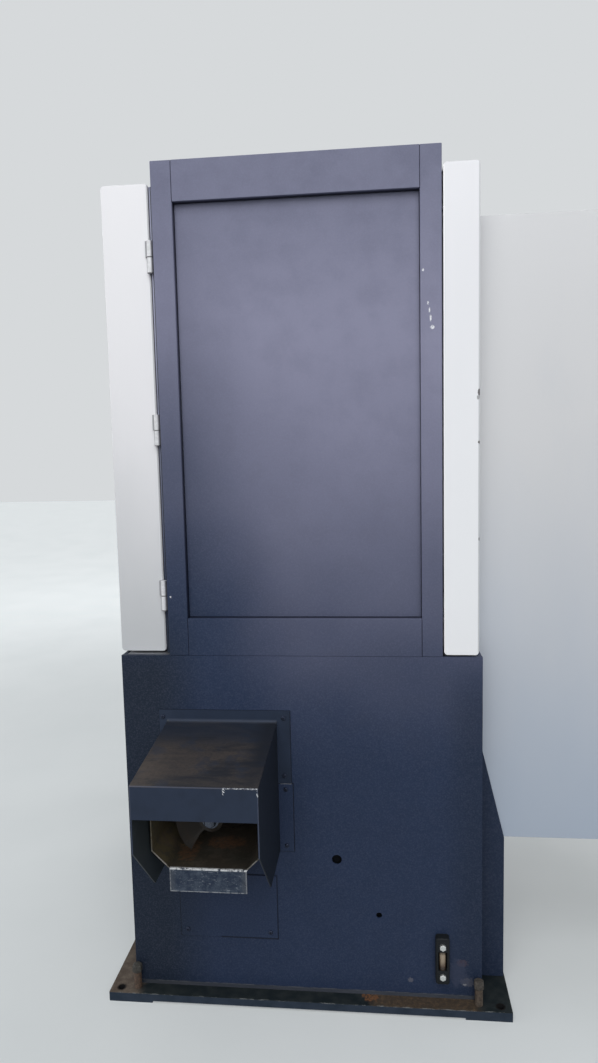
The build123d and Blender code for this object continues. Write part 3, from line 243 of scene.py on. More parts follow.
def relief(height, depth, under=None):
    """Bump of a height pattern from 0 to 1 that stands depth metres tall."""
    inputs = {"Height": height, "Distance": depth, "Strength": 1.0}
    if under is not None:
        inputs["Normal"] = under
    return add(height.id_data, "Bump", inputs).outputs[0]


def start_finish(name):
    """New material; gives the material, its tree and its shader."""
    material = bpy.data.materials.new(name)
    material.use_nodes = True
    return material, material.node_tree, material.node_tree.nodes["Principled BSDF"]


print("helpers ready")

# %% [markdown]
# The machine's blue is a gloss paint rolled and sprayed over sheet metal. Up close it shows a
# fine orange peel, and from a step away the sheet's slow waves break up the reflections. Higher
# up the blue fades to a pale painted sheen, which stands in for the reflection of a bright room,
# and painted shade darkens it low at the left and at the right end. A chip in the paint is a small
# ragged spot in another colour, placed where the real machine has one. The base and the column
# share one rear face, and the thin covers lie 3 mm in front of it.


# %% Blue machine paint
def rgb(red, green, blue):
    """A colour from 0 to 255, turned into the linear values that nodes use."""
    values = [v / 255 for v in (red, green, blue)]
    return [*(v / 12.92 if v <= 0.04045 else ((v + 0.055) / 1.055) ** 2.4 for v in values), 1.0]


def scaled(tone, share):
    """A tone made darker by a share below 1, or paler by one above it."""
    return [*(min(v * share, 1.0) for v in tone[:3]), 1.0]


rear_face, cover_face = -0.517, -0.520
# Painted sheen: the pale tone that the gloss blue fades to higher up, in place of the reflection of a
# bright room.
reflected_sheen = rgb(132, 133, 156)
white_primer = rgb(228, 230, 234)
dried_coolant = rgb(112, 112, 120)
navy = rgb(38, 51, 76)
deep_navy = rgb(20, 30, 42)
# Near-black tone for dirt along the covers, and for painted shade beside the hinge strip.
grime_and_shade = rgb(13, 16, 24)


def blue_paint(name, haze, chips=(), scuffs=(), dirty_rims=()):
    """Gloss blue that fades to a painted sheen higher up, with painted shade at the lower left and the
    lower right end; its colour is handed back for more layers.
    """
    material, tree, shader = start_finish(name)
    # Painted sheen that rises with height, held lower towards the left, which is in painted shade.
    left_in_shade = ramp(tree, "X", -0.24, -0.60)
    height = times_plus(left_in_shade, -0.36, along(tree, "Z"))
    height = times_plus(cloud(tree, 0.24, 4.0), 0.30, height)
    colour = lay(fade(height, 0.73, 1.89), navy, haze)
    # The painted sheen falls back at the very top, and painted shade darkens the lower left and the lower
    # right end.
    sheen_fading_at_top = ramp(tree, "Z", 1.66, 2.1)
    shade = both(ramp(tree, "X", -0.50, -0.66), ramp(tree, "Z", 1.15, 0.85))
    right_end_shade = both(ramp(tree, "X", 0.04, 0.14), ramp(tree, "Z", 0.95, 0.75))
    blotch = patches(tree, 0.35, 0.75, 0.06, 4.0, 0.6)
    speck = patches(tree, 0.4, 0.75, 0.004, 3.0, 0.8)
    colour = layered(colour, [
        (sheen_fading_at_top, navy, 0.38), (shade, deep_navy, 0.85), (right_end_shade, deep_navy, 0.4),
        (blotch, deep_navy, 0.10), (speck, scaled(haze, 1.8), 0.055)])
    rough = times_plus(blotch, 0.10, 0.44)
    at_rear = ramp(tree, "Y", rear_face + 0.007, rear_face + 0.004)
    for left, right, low, high in dirty_rims:
        rim = both(outline(tree, left, right, low, high, 0.0010, 0.0012), at_rear)
        colour = tint(colour, rim, grime_and_shade, 0.8)
    for centre, radius, stretch, tone, strength in scuffs:
        mask = part_of(spot(tree, centre, radius, 0.8, stretch), strength)
        colour = lay(mask, colour, tone)
        rough = lay(mask, rough, 0.75)
    nibbles = patches(tree, 0.32, 0.44, 0.0030, 3.0, 0.7)
    for centre, radius, stretch, tone in chips:
        chip = both(spot(tree, centre, radius, 1.3, stretch), nibbles)
        colour = lay(chip, colour, tone)
    waves = relief(cloud(tree, 0.16, 1.0), 0.0010)
    peel = relief(cloud(tree, 0.003, 1.5), 0.00005, waves)
    plug(shader, {"Roughness": rough, "Specular IOR Level": 0.18, "Normal": peel})
    return material, tree, shader, colour


def column_paint():
    """The blue of the column, with painted shade on the sides of its set-back panel and dark lines at its
    joints.
    """
    # Each chip is its place, its radius, its stretch and its tone.
    chips = [
        ((0.0215, rear_face, 1.827), 0.0020, (1, 1, 0.7), white_primer),
        ((0.0326, rear_face, 1.752), 0.0017, (1, 1, 0.5), white_primer),
        ((0.0360, rear_face, 1.736), 0.0017, (1, 1, 0.35), white_primer),
        ((0.0385, rear_face, 1.718), 0.0018, (1, 1, 0.28), white_primer),
        ((0.0427, rear_face, 1.697), 0.0032, (0.8, 1, 0.8), white_primer),
        ((-0.6064, rear_face, 1.0618), 0.0018, (1, 1, 0.8), white_primer),
    ]
    material, tree, shader, colour = blue_paint("column_blue", reflected_sheen, chips)
    left, right, low, high = -0.565, 0.015, 1.007, 2.010
    # Painted shade on the set-back sides round the panel.
    recess = outline(tree, left, right, low, high, 0.0010, 0.0010)
    recess_side_shade = between(along(tree, "Y"), -0.5110, -0.5080, -0.490, -0.480)
    joints = either(*(stripe(tree, "X", side, 0.0006, 0.0008) for side in (left, right)))
    ends = either(ramp(tree, "Z", high - 0.002, high), ramp(tree, "Z", low + 0.002, low))
    outside = ramp(tree, "Y", -0.5150, -0.5165)
    colour = layered(colour, [(both(recess, recess_side_shade), rgb(24, 26, 40), 0.85),
                              (both(joints, ends, outside), rgb(30, 32, 48), 0.7)])
    feed(colour, shader.inputs["Base Color"])
    return material


def strip_paint():
    """The blue of the hinge strip: painted light makes it paler than the column's, and painted shade
    darkens it where it meets the column.
    """
    # Painted light: the strip's pale tone stands in for light that falls on it.
    material, tree, shader, colour = blue_paint("strip_blue", rgb(186, 188, 210))
    # Painted shade in the corner where the strip meets the column.
    corner = ramp(tree, "X", -0.6240, -0.6230)
    feed(tint(colour, corner, grime_and_shade, 0.85), shader.inputs["Base Color"])
    return material


def base_paint():
    """The blue of the base, with dirt along its covers, dried coolant, a painted highlight along the weld
    and painted shade on the faces within it.
    """
    chips = [
        ((-0.3267, cover_face, 0.6048), 0.0024, (1, 1, 1), white_primer),
        ((0.1175, rear_face, 0.0600), 0.0022, (0.5, 1, 1), rgb(126, 128, 134)),
    ]
    # A scuff has its strength as well.
    scuffs = [
        ((0.1240, rear_face, 0.0670), 0.011, (0.7, 1, 1), dried_coolant, 0.3),
        ((0.1110, rear_face, 0.118), 0.014, (1, 1, 1.6), rgb(84, 70, 78), 0.45),
        ((0.1000, rear_face, 0.092), 0.020, (1, 1, 0.6), rgb(66, 72, 92), 0.5),
        ((-0.0185, rear_face, 0.066), 0.006, (1, 1, 1), dried_coolant, 0.5),
    ]
    flange, trim = (-0.6475, -0.3135, 0.5845, 0.7715), (-0.3460, -0.3095, 0.4035, 0.5830)
    cover, cover_foot = (-0.6125, -0.3575, 0.1625, 0.3355), (-0.5050, -0.3575, 0.1615, 0.1640)
    rims = [flange, trim, cover, cover_foot]
    material, tree, shader, colour = blue_paint("base_blue", reflected_sheen, chips, scuffs, rims)
    outside, weld_top = ramp(tree, "Y", -0.5165, -0.5175), 0.0315
    weld = both(outside, ramp(tree, "Z", weld_top + 0.0015, weld_top - 0.0005))
    # Painted highlight: a broken light line along the top of the weld.
    foot = both(stripe(tree, "Z", weld_top, 0.0008, 0.0008), outside)
    broken_weld_highlight = patches(tree, 0.42, 0.60, 0.03, 3.0)
    colour = layered(colour, [(weld, rgb(20, 25, 33), 0.85),
                              (both(foot, broken_weld_highlight), rgb(92, 94, 98), 0.5)])
    # Painted shade: the faces within the base go near black.
    across = between(along(tree, "X"), -0.7335, -0.7325, 0.1525, 0.1535)
    deep = between(along(tree, "Y"), -0.5140, -0.5125, 0.7755, 0.7765)
    inside = both(across, deep, ramp(tree, "Z", 0.86, 0.85))
    colour = lay(inside, colour, rgb(12, 14, 17))
    seam = both(stripe(tree, "Z", 0.5835, 0.0010, 0.0008), stripe(tree, "X", -0.327, 0.013, 0.002))
    colour = tint(colour, both(seam, outside), rgb(170, 174, 184), 0.5)
    feed(colour, shader.inputs["Base Color"])
    return material


column_blue = column_paint()
strip_blue = strip_paint()
base_blue = base_paint()
print("blue paints:", column_blue.name, strip_blue.name, base_blue.name)

# %% [markdown]
# The doors and side covers carry a silver-grey paint, and the infeed enclosure a plainer grey.
# Both are light, so what gives them away is not their colour but a fine grain, a soft gloss,
# and a tone that changes from the foot to the top, which is painted light and shade, as are
# thin lines along some edges. A metallic shader would go too dark indoors,
# so the silver is an ordinary paint with a fine sparkle in its colour.


# %% Silver and grey paint
def pale_paint(name, upper, lower, low, high, chips=(), gloss=0.42, edge_light_and_shade=()):
    """Pale paint whose tone changes with height as painted light and shade; each edge line has a tone of
    its own, pale for a painted highlight and grey for painted shade.
    """
    material, tree, shader = start_finish(name)
    # Painted light and shade: the tone changes with height, as the light falls on the surface.
    rise = times_plus(cloud(tree, 0.3, 4.0, stretch=(1, 1, 0.4)), 0.4, along(tree, "Z"))
    colour = lay(fade(rise, low + 0.2, high + 0.2), lower, upper)
    grain = patches(tree, 0.25, 0.8, 0.0022, 2.0, 0.8)
    smear = patches(tree, 0.5, 0.8, 0.12, 5.0, 0.65, stretch=(1, 1, 0.35))
    colour = layered(colour, [(grain, scaled(upper, 0.8), 0.06), (smear, lower, 0.08)])
    rough = times_plus(smear, 0.12, gloss)
    # Painted highlight where an edge line is pale, painted shade where it is grey.
    for middle, half, tone, strength in edge_light_and_shade:
        band = both(stripe(tree, "X", middle, half, 0.0012), ramp(tree, "Y", -0.46, -0.48))
        colour = tint(colour, band, tone, strength)
    for centre, radius, stretch, tone in chips:
        colour = lay(spot(tree, centre, radius, 0.5, stretch), colour, tone)
    # Painted shade in the gap at the right cover's side.
    gap_shadow = between(along(tree, "X"), 0.0640, 0.0650, 0.0679, 0.0682)
    colour = lay(gap_shadow, colour, rgb(34, 36, 48))
    waves = relief(cloud(tree, 0.22, 1.0), 0.0008)
    peel = relief(cloud(tree, 0.0022, 1.5), 0.00006, waves)
    plug(shader, {"Base Color": colour, "Roughness": rough, "Specular IOR Level": 0.35,
                  "Normal": peel})
    return material


bare_chip = rgb(78, 76, 78)
cover_chips = [
    ((0.151, rear_face, 1.545), 0.0045, (1, 1, 0.6), bare_chip),
    ((0.1475, rear_face, 1.533), 0.0030, (1, 1, 0.6), rgb(160, 160, 164)),
    ((0.150, rear_face, 1.429), 0.0030, (1, 1, 1), bare_chip),
    ((0.151, rear_face, 1.20), 0.0020, (1, 1, 0.5), bare_chip),
]
# Painted shade on the door's rolled edge; a painted highlight and a line of painted shade on the right
# cover's edges.
door_edge_shade = [(-0.6305, 0.0018, rgb(150, 151, 156), 0.75)]
cover_edge_light_and_shade = [(0.0690, 0.0010, rgb(250, 250, 252), 0.9), (0.1498, 0.0012, rgb(176, 178, 182), 0.7)]
door_silver = pale_paint("door_silver", rgb(232, 232, 235), rgb(193, 196, 199), 0.85, 1.6, edge_light_and_shade=door_edge_shade)
cover_silver = pale_paint("cover_silver", rgb(229, 230, 234), rgb(243, 245, 248), 1.1, 1.9, cover_chips,
                          edge_light_and_shade=cover_edge_light_and_shade)
enclosure_grey = pale_paint("enclosure_grey", rgb(214, 215, 217), rgb(177, 189, 205), 0.35, 1.5, gloss=0.5)


def hinge_paint():
    """Silver like the door with worn patches, painted shade down both sides of the round knuckles, and dark
    lines at the joints.
    """
    material, tree, shader = start_finish("hinge_silver")
    x = along(tree, "X")
    worn = cloud(tree, 0.010, 4.0, 0.7)
    colour = lay(fade(worn, 0.35, 0.7), rgb(206, 207, 210), rgb(226, 227, 230))
    low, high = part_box("hinge_sockets")
    play, half_hinge = 0.0005, 0.038
    first, last = low[2] - play, high[2] - half_hinge - play
    heights = (first, (first + last) / 2, last)
    joints = [stripe(tree, "Z", height, 0.0009, 0.0010) for height in heights]
    feet = [stripe(tree, "Z", height - half_hinge, 0.0016, 0.0012) for height in heights]
    # Painted shade down the left and the right side of the knuckles; dark lines at the joints and the
    # knuckles' ends.
    colour = layered(colour, [
        (fade(x, -0.6305, -0.6345), rgb(112, 112, 118), 0.7),
        (fade(x, -0.6250, -0.6205), rgb(78, 78, 86), 0.85),
        (either(*joints, *feet), rgb(62, 60, 64), 0.75)])
    plug(shader, {"Base Color": colour, "Roughness": times_plus(worn, 0.2, 0.28),
                  "Normal": relief(worn, 0.0001)})
    return material


hinge_silver = hinge_paint()
print("pale paints:", door_silver.name, cover_silver.name, enclosure_grey.name)

# %% [markdown]
# Steel that works in oil and chips has no clean finish. The hood's top is stained brown by
# oily chips and the paint has flaked off its front edge; its creases and edges carry painted
# highlights, and its right cheek and the right of its top painted shade. A picture could be laid
# on it, but a few colours with masks that say where on the machine they belong stay sharp from
# near by.


# %% Stained hood
def stained_hood():
    """Dark blue outside, a brown oily film on top, painted highlights along its edges and creases, painted
    shade on the right, and a flaked front edge.
    """
    material, tree, shader = start_finish("stained_hood")
    x, y, z = (along(tree, axis) for axis in "XYZ")
    colour = lay(patches(tree, 0.4, 0.8, 0.05, 4.0), rgb(38, 48, 66), rgb(33, 42, 58))
    left, right, front, fall = -0.6275, -0.3465, -0.829, 0.1026
    beside = between(y, front + 0.0005, front + 0.0025, cover_face - 0.0025, cover_face - 0.0005)
    at_right = fade(x, right - 0.0025, right - 0.0013)
    # Painted shade on the right cheek.
    right_cheek_shade = both(at_right, beside)
    left_cheek = both(fade(x, left + 0.0060, left + 0.0050), beside)
    colour = layered(colour, [(right_cheek_shade, rgb(21, 25, 31), 0.85),
                              (left_cheek, rgb(60, 66, 68), 0.85)])
    level = times_plus(y, -fall, z)
    top = both(fade(level, 0.7926, 0.7938), fade(y, cover_face - 0.0015, cover_face - 0.0045))
    streaks = patches(tree, 0.34, 0.66, 0.05, 6.0, 0.72, stretch=(0.35, 1, 1), warp=0.5)
    oily = lay(streaks, rgb(33, 35, 41), rgb(58, 55, 54))
    middle = between(y, -0.82, -0.76, -0.66, -0.56)
    mottle = patches(tree, 0.38, 0.68, 0.0045, 4.0, 0.75, stretch=(0.7, 1, 1))
    blue = patches(tree, 0.52, 0.66, 0.07, 5.0, 0.6)
    at_wall = fade(times_plus(streaks, 0.05, y), -0.63, -0.55)
    # Painted shade: the top darkens towards the right cheek.
    shade_towards_cheek = both(fade(x, -0.410, -0.355), fade(y, -0.85, -0.68))
    tan = both(fade(x, -0.53, -0.61), fade(y, -0.60, -0.76))
    ragged = patches(tree, 0.3, 0.6, 0.03, 5.0, 0.7)
    oily = layered(oily, [
        (both(middle, streaks), rgb(70, 62, 57), 0.5), (mottle, rgb(30, 31, 36), 0.45),
        (blue, rgb(36, 42, 54), 0.7), (at_wall, rgb(27, 35, 49), 0.65),
        (shade_towards_cheek, rgb(23, 27, 35), 0.9), (both(tan, ragged), rgb(86, 77, 70), 0.45)])
    colour = lay(top, colour, oily)
    # Painted highlights along the rear bend, the front fold and the front edges of the cheeks.
    at_bend = stripe(tree, "Y", cover_face - 0.0035, 0.0010, 0.0008)
    bend_highlight = both(at_bend, stripe(tree, "Z", 0.7390, 0.0020, 0.0015))
    front_fold = both(fade(y, front + 0.0035, front + 0.0015), fade(z, 0.7075, 0.7095))
    at_front = fade(y, front + 0.0025, front + 0.0010)
    sides = both(at_front, either(at_right, fade(x, left + 0.0025, left + 0.0013)))
    colour = layered(colour, [
        (bend_highlight, rgb(84, 90, 112), 0.45), (front_fold, rgb(104, 110, 128), 0.45),
        (sides, rgb(96, 102, 118), 0.35)])
    nibbles = patches(tree, 0.50, 0.58, 0.0045, 3.0, 0.75)
    chipped = both(front_fold, fade(x, -0.425, -0.415), nibbles)
    at_corner = fade(x, right - 0.0040, right - 0.0020)
    corner = both(at_front, at_corner, stripe(tree, "Z", 0.700, 0.010, 0.006))
    chipped = either(chipped, both(corner, nibbles))
    run = both(spot(tree, (-0.421, front, 0.703), 0.004, 0.6, (1.6, 1, 0.5)), nibbles)
    colour = lay(either(chipped, run), colour, rgb(206, 210, 214))
    waves = relief(cloud(tree, 0.09, 2.0), 0.0010)
    plug(shader, {"Base Color": colour, "Roughness": lay(top, 0.5, 0.58),
                  "Specular IOR Level": 0.22,
                  "Normal": relief(cloud(tree, 0.003, 2.0), 0.0001, waves)})
    return material


hood_finish = stained_hood()
print("hood:", hood_finish.name, "nodes:", len(hood_finish.node_tree.nodes))

# %% [markdown]
# The trough under the hood is rusty brown inside, and greenish where coolant stands. Its lip is
# scraped bare by the chips that slide over it, so there the rust gives way to dark steel with
# bright scratches. Both finishes are mixed in one material, because they are one piece of sheet.


# %% Rusty trough with its scraped lip
def rusty_trough():
    """Rust inside, bare scratched steel on the lip, and light edges that are partly worn bare and partly
    painted highlights.
    """
    material, tree, shader = start_finish("rusty_trough")
    x, y, z = (along(tree, axis) for axis in "XYZ")
    rust = lay(patches(tree, 0.35, 0.7, 0.06, 5.0, 0.65), rgb(70, 67, 60), rgb(90, 78, 66))
    warm = either(spot(tree, (-0.548, -0.64, 0.480), 0.026, 0.8, (1, 0.5, 1)),
                  spot(tree, (-0.405, -0.67, 0.505), 0.018, 0.8, (1, 0.4, 0.7)),
                  spot(tree, (-0.465, -0.60, 0.470), 0.028, 0.8, (0.6, 1, 1)))
    olive = both(fade(x, -0.50, -0.56), patches(tree, 0.36, 0.56, 0.018, 5.0, 0.7))
    sludge = both(fade(z, 0.486, 0.470), patches(tree, 0.34, 0.54, 0.03, 5.0, 0.7))
    grit = patches(tree, 0.35, 0.60, 0.008, 5.0, 0.75)
    rust = layered(rust, [
        (olive, rgb(96, 86, 58), 0.6), (sludge, rgb(46, 44, 40), 0.7),
        (both(warm, grit), rgb(114, 80, 56), 0.65)])
    lip_left, lip_right, lip_low, lip_top, lip_back = -0.5765, -0.3975, 0.4090, 0.4665, -0.719
    lip = both(fade(y, lip_back + 0.0005, lip_back - 0.0005), fade(z, lip_top, lip_top - 0.001))
    dull = patches(tree, 0.38, 0.72, 0.022, 6.0, 0.75)
    steel = lay(dull, rgb(38, 49, 68), rgb(78, 88, 102))
    edges = either(fade(x, -0.560, -0.574), fade(x, -0.415, -0.400))
    scratch = patches(tree, 0.60, 0.68, 0.008, 4.0, 0.8, stretch=(0.5, 1, 1.8), warp=1.5)
    steel = layered(steel, [(edges, rgb(84, 88, 94), 0.45), (scratch, rgb(170, 176, 184), 0.8)])
    colour = lay(lip, rust, steel)
    at_fold = fade(y, lip_back + 0.0025, lip_back)
    fold = both(stripe(tree, "Z", lip_top - 0.0025, 0.0018, 0.0012), at_fold)
    hem = both(stripe(tree, "Z", lip_low, 0.0010, 0.0010), lip)
    ends = either(*(stripe(tree, "X", side, 0.0010, 0.0008) for side in (lip_left, lip_right)))
    worn = patches(tree, 0.36, 0.54, 0.008, 4.0, 0.7)
    # The light edges are partly worn bare and partly painted highlights.
    bright = either(fold, part_of(hem, 0.35), part_of(both(ends, lip), 0.25))
    rims = both(fade(y, lip_back - 0.0015, lip_back - 0.0022), fade(z, lip_top, lip_top + 0.0015))
    rims = both(rims, times_plus(fade(z, 0.512, 0.500), 0.35, 0.20))
    colour = lay(both(rims, worn), colour, rgb(172, 170, 166))
    colour = lay(both(bright, worn), colour, rgb(222, 224, 226))
    dents = relief(cloud(tree, 0.03, 3.0), 0.0010)
    plug(shader, {"Base Color": colour, "Metallic": part_of(lip, 0.35),
                  "Roughness": lay(lip, 0.7, 0.42), "Specular IOR Level": 0.3,
                  "Normal": relief(cloud(tree, 0.004, 4.0), 0.0003, dents)})
    return material


trough_finish = rusty_trough()
print("trough:", trough_finish.name, "nodes:", len(trough_finish.node_tree.nodes))

# %% [markdown]
# The foot plate lies where everything drips. Its top is dusty at the left end, black with oil
# along the middle and rusty at the right, and its anchor holes are dark. One noise bends the
# borders of these zones, so that they wander as real stains do instead of running straight.


# %% Foot plate with rust and oil
def oily_plate():
    """Dust, oil and rust by zones on top, dark paint at the sides and nicks along the edge."""
    material, tree, shader = start_finish("oily_plate")
    x, y, z = (along(tree, axis) for axis in "XYZ")
    paint = lay(patches(tree, 0.4, 0.7, 0.04, 4.0), rgb(46, 56, 70), rgb(36, 47, 60))
    plate_top = 0.025
    top = fade(z, plate_top - 0.0015, plate_top - 0.0005)
    oil = lay(patches(tree, 0.35, 0.7, 0.03, 5.0), rgb(25, 32, 35), rgb(40, 45, 46))
    dust = lay(patches(tree, 0.35, 0.7, 0.02, 6.0, 0.7), rgb(78, 68, 60), rgb(104, 94, 84))
    rust = lay(patches(tree, 0.4, 0.7, 0.012, 5.0, 0.75), rgb(64, 56, 48), rgb(90, 75, 60))
    wobble = times_plus(cloud(tree, 0.05, 3.0), 0.06, x)
    deck = lay(fade(wobble, -0.715, -0.68), dust, oil)
    rusty_part = between(wobble, -0.10, -0.085, 0.165, 0.185)
    deck = lay(rusty_part, deck, rust)
    crumbs = patches(tree, 0.36, 0.56, 0.006, 5.0, 0.7)
    flake = both(spot(tree, (-0.121, -0.530, plate_top), 0.018, 0.9), crumbs)
    deck = tint(deck, flake, rgb(112, 78, 54), 0.9)
    colour = lay(top, paint, deck)
    for x_anchor in (-0.773, 0.203):
        for y_anchor in (-0.543, 0.809):
            hole = spot(tree, (x_anchor, y_anchor, 0), 0.0115, 0.0, (1, 1, 0))
            colour = tint(colour, hole, rgb(20, 16, 14), 0.9)
    edge = both(stripe(tree, "Z", plate_top - 0.0005, 0.0009, 0.0006), fade(y, -0.560, -0.562))
    nicks = patches(tree, 0.50, 0.60, 0.010, 5.0, 0.8, stretch=(0.4, 1, 1))
    colour = tint(colour, both(edge, nicks), rgb(128, 132, 132), 0.7)
    wet = both(top, fade(wobble, -0.69, -0.66))
    plug(shader, {"Base Color": colour, "Roughness": lay(wet, 0.65, 0.45),
                  "Specular IOR Level": 0.2,
                  "Normal": relief(cloud(tree, 0.006, 5.0, 0.7), 0.0005)})
    return material


plate_finish = oily_plate()
print("plate:", plate_finish.name, "nodes:", len(plate_finish.node_tree.nodes))

# %% [markdown]
# The rest needs plainer finishes: bare and machined steel, castings, plastics and clear sheet.
# Three short recipes cover them, because such surfaces differ in a few numbers alone. A metal
# gets fine turning or grinding marks in its roughness, a moulded or cast surface gets a grain
# in its bump, and a clear one lets light through.


# %% Recipes for metals, castings and plastics
def metal(name, tone, dark, rough, mark=(1, 1, 1), size=0.004, tarnish=0.3):
    """Bare metal with fine marks, dull in patches where it has tarnished."""
    material, tree, shader = start_finish(name)
    dull = patches(tree, 0.45, 0.75, 0.04, 5.0, 0.65)
    marks = cloud(tree, size, 3.0, 0.7, stretch=mark)
    plug(shader, {"Base Color": tint(tone, dull, dark, tarnish), "Metallic": 0.9,
                  "Roughness": times_plus(marks, 0.25, rough),
                  "Normal": relief(marks, 0.00008)})
    return material


def grained(name, tone, dark, rough, size=0.002, depth=0.0002, coat=0.0, shine=0.5):
    """Moulded, cast or rough surface: a grain in its bump, darker blotches and perhaps a coat."""
    material, tree, shader = start_finish(name)
    blotch = patches(tree, 0.4, 0.75, 0.05, 5.0, 0.6)
    plug(shader, {"Base Color": tint(tone, blotch, dark, 0.5),
                  "Roughness": times_plus(blotch, 0.15, rough),
                  "Normal": relief(cloud(tree, size, 2.0), depth),
                  "Coat Weight": coat, "Specular IOR Level": shine})
    return material


acrylic_ior = 1.49


def clear(name, tone, rough, strength):
    """Clear sheet with a faint haze; strength is how much of the light goes through."""
    material, tree, shader = start_finish(name)
    haze = patches(tree, 0.4, 0.8, 0.03, 4.0)
    plug(shader, {"Base Color": tint(tone, haze, scaled(tone, 0.8), 0.2),
                  "Roughness": times_plus(haze, 0.06, rough),
                  "Transmission Weight": strength, "IOR": acrylic_ior})
    return material


print("recipes ready")

# %% [markdown]
# Now each plain finish is one line. The inside of such a machine is told apart by these tones:
# ground steel is pale, castings are blue-grey, the motor is darker, and the red and green
# buttons are lacquered. The auger and the tank are dull, so they get little shine.

# %% Plain finishes
machined_steel = metal("machined_steel", rgb(190, 192, 196), rgb(120, 118, 116), 0.24, mark=(1, 0.1, 1))
blade_steel = metal("blade_steel", rgb(196, 198, 202), rgb(140, 140, 142), 0.2, tarnish=0.2)
zinc_plate = metal("zinc_plate", rgb(214, 216, 214), rgb(170, 168, 160), 0.3, size=0.002)
auger_steel = grained("auger_steel", rgb(34, 31, 28), rgb(52, 39, 30), 0.5, 0.006, 0.0003, shine=0.25)
wet_bolt = metal("wet_bolt", rgb(76, 81, 92), rgb(30, 32, 37), 0.14, size=0.006, tarnish=0.8)
tank_paint = grained("tank_paint", rgb(16, 18, 22), rgb(10, 12, 15), 0.7, shine=0.05)
casting = grained("casting", rgb(128, 134, 144), rgb(104, 110, 120), 0.5, 0.003, 0.0004)
motor_grey = grained("motor_grey", rgb(86, 92, 102), rgb(66, 72, 82), 0.48, 0.0025, 0.0003)
brush_brass = grained("brush_brass", rgb(188, 160, 96), rgb(120, 98, 58), 0.5, 0.0012, 0.0008)
black_moulding = grained("black_moulding", rgb(26, 27, 30), rgb(40, 41, 44), 0.5)
red_moulding = grained("red_moulding", rgb(196, 30, 24), rgb(160, 22, 18), 0.28, coat=0.4)
green_moulding = grained("green_moulding", rgb(28, 140, 66), rgb(20, 110, 52), 0.3, coat=0.4)
gauge_black = grained("gauge_black", rgb(24, 27, 30), rgb(36, 40, 43), 0.6, shine=0.2)
window_clear = clear("window_clear", rgb(226, 236, 238), 0.03, 0.9)
print("materials so far:", len(bpy.data.materials))

# %% [markdown]
# The level gauge shows the coolant's height in a cloudy tube. Real liquid inside real glass
# would need light from behind, so the tube is painted with what the eye sees: pale above the
# foam, brown below it, and dark where the round sides turn away.


# %% Sight tube with its oil
def oil_sight_finish():
    """A cloudy tube: pale above the oil's foam, brown below, with painted shade along both sides and at
    both ends.
    """
    material, tree, shader = start_finish("oil_sight")
    haze = cloud(tree, 0.012, 4.0)
    level = times_plus(haze, 0.016, along(tree, "Z"))
    colour = lay(fade(level, 0.122, 0.152), rgb(98, 78, 64), rgb(176, 160, 138))
    x_tube, z_tube = 0.061, 0.136
    aside = sums("ABSOLUTE", sums("SUBTRACT", along(tree, "X"), x_tube))
    off_middle = sums("ABSOLUTE", sums("SUBTRACT", along(tree, "Z"), z_tube))
    # Painted shade where the round sides turn away, and at both ends of the tube.
    colour = layered(colour, [(fade(aside, 0.0050, 0.0085), rgb(42, 32, 24), 0.85),
                              (fade(off_middle, 0.012, 0.022), rgb(48, 40, 32), 0.8)])
    plug(shader, {"Base Color": colour, "Roughness": times_plus(haze, 0.08, 0.10),
                  "Transmission Weight": 0.12, "IOR": acrylic_ior})
    return material


oil_sight = oil_sight_finish()
print("sight tube:", oil_sight.name)

# %% [markdown]
# A solid from CAD has knife-sharp edges, and nothing real does. Folded sheet has a bend, a plate
# has a broken edge, and both catch a thin line of light that the eye reads as thickness. Each
# solid is copied, its loose triangles are merged, and a Bevel modifier rounds every hard edge.
# The copy then stands for the solid, so the form stays exactly the same. A true bevel was
# chosen over the shader's own rounding, because it is also there in an exported model.


# %% Helpers for modelling
def only(piece):
    """Deselects everything, then selects one piece and makes it the active one."""
    bpy.ops.object.select_all(action="DESELECT")
    piece.select_set(True)
    bpy.context.view_layer.objects.active = piece


def modify(piece, kind, **settings):
    """Adds a modifier and applies it."""
    only(piece)
    modifier = piece.modifiers.new(kind.lower(), kind)
    for key, value in settings.items():
        setattr(modifier, key, value)
    bpy.ops.object.modifier_apply(modifier=modifier.name)


def soften(piece, width, rounds=2, hard_angle=30):
    """Rounds every edge whose sides meet at more than an angle in degrees."""
    modify(piece, "BEVEL", width=width, segments=rounds, limit_method="ANGLE",
           angle_limit=math.radians(hard_angle))


def dress(piece, material):
    """Gives a piece one material all over."""
    piece.data.materials.clear()
    piece.data.materials.append(material)


def only_faces(piece, test):
    """Goes into edit mode with just the faces selected whose middle and normal pass a test."""
    only(piece)
    bpy.ops.object.mode_set(mode="EDIT")
    bpy.ops.mesh.select_mode(type="FACE")
    bpy.ops.mesh.select_all(action="DESELECT")
    bpy.ops.object.mode_set(mode="OBJECT")
    for face in piece.data.polygons:
        face.select = test(face.center, face.normal)
    bpy.ops.object.mode_set(mode="EDIT")


def fix_place(piece):
    """Writes a piece's place, turn and scale into its mesh."""
    only(piece)
    bpy.ops.object.transform_apply()
    return piece


def bar(name, low, high, edge):
    """A block between two corners, with rounded edges."""
    low, high = Vector(low), Vector(high)
    bpy.ops.mesh.primitive_cube_add(size=1, location=(low + high) / 2)
    block = bpy.context.active_object
    block.name = name
    block.scale = high - low
    soften(fix_place(block), edge)
    return block


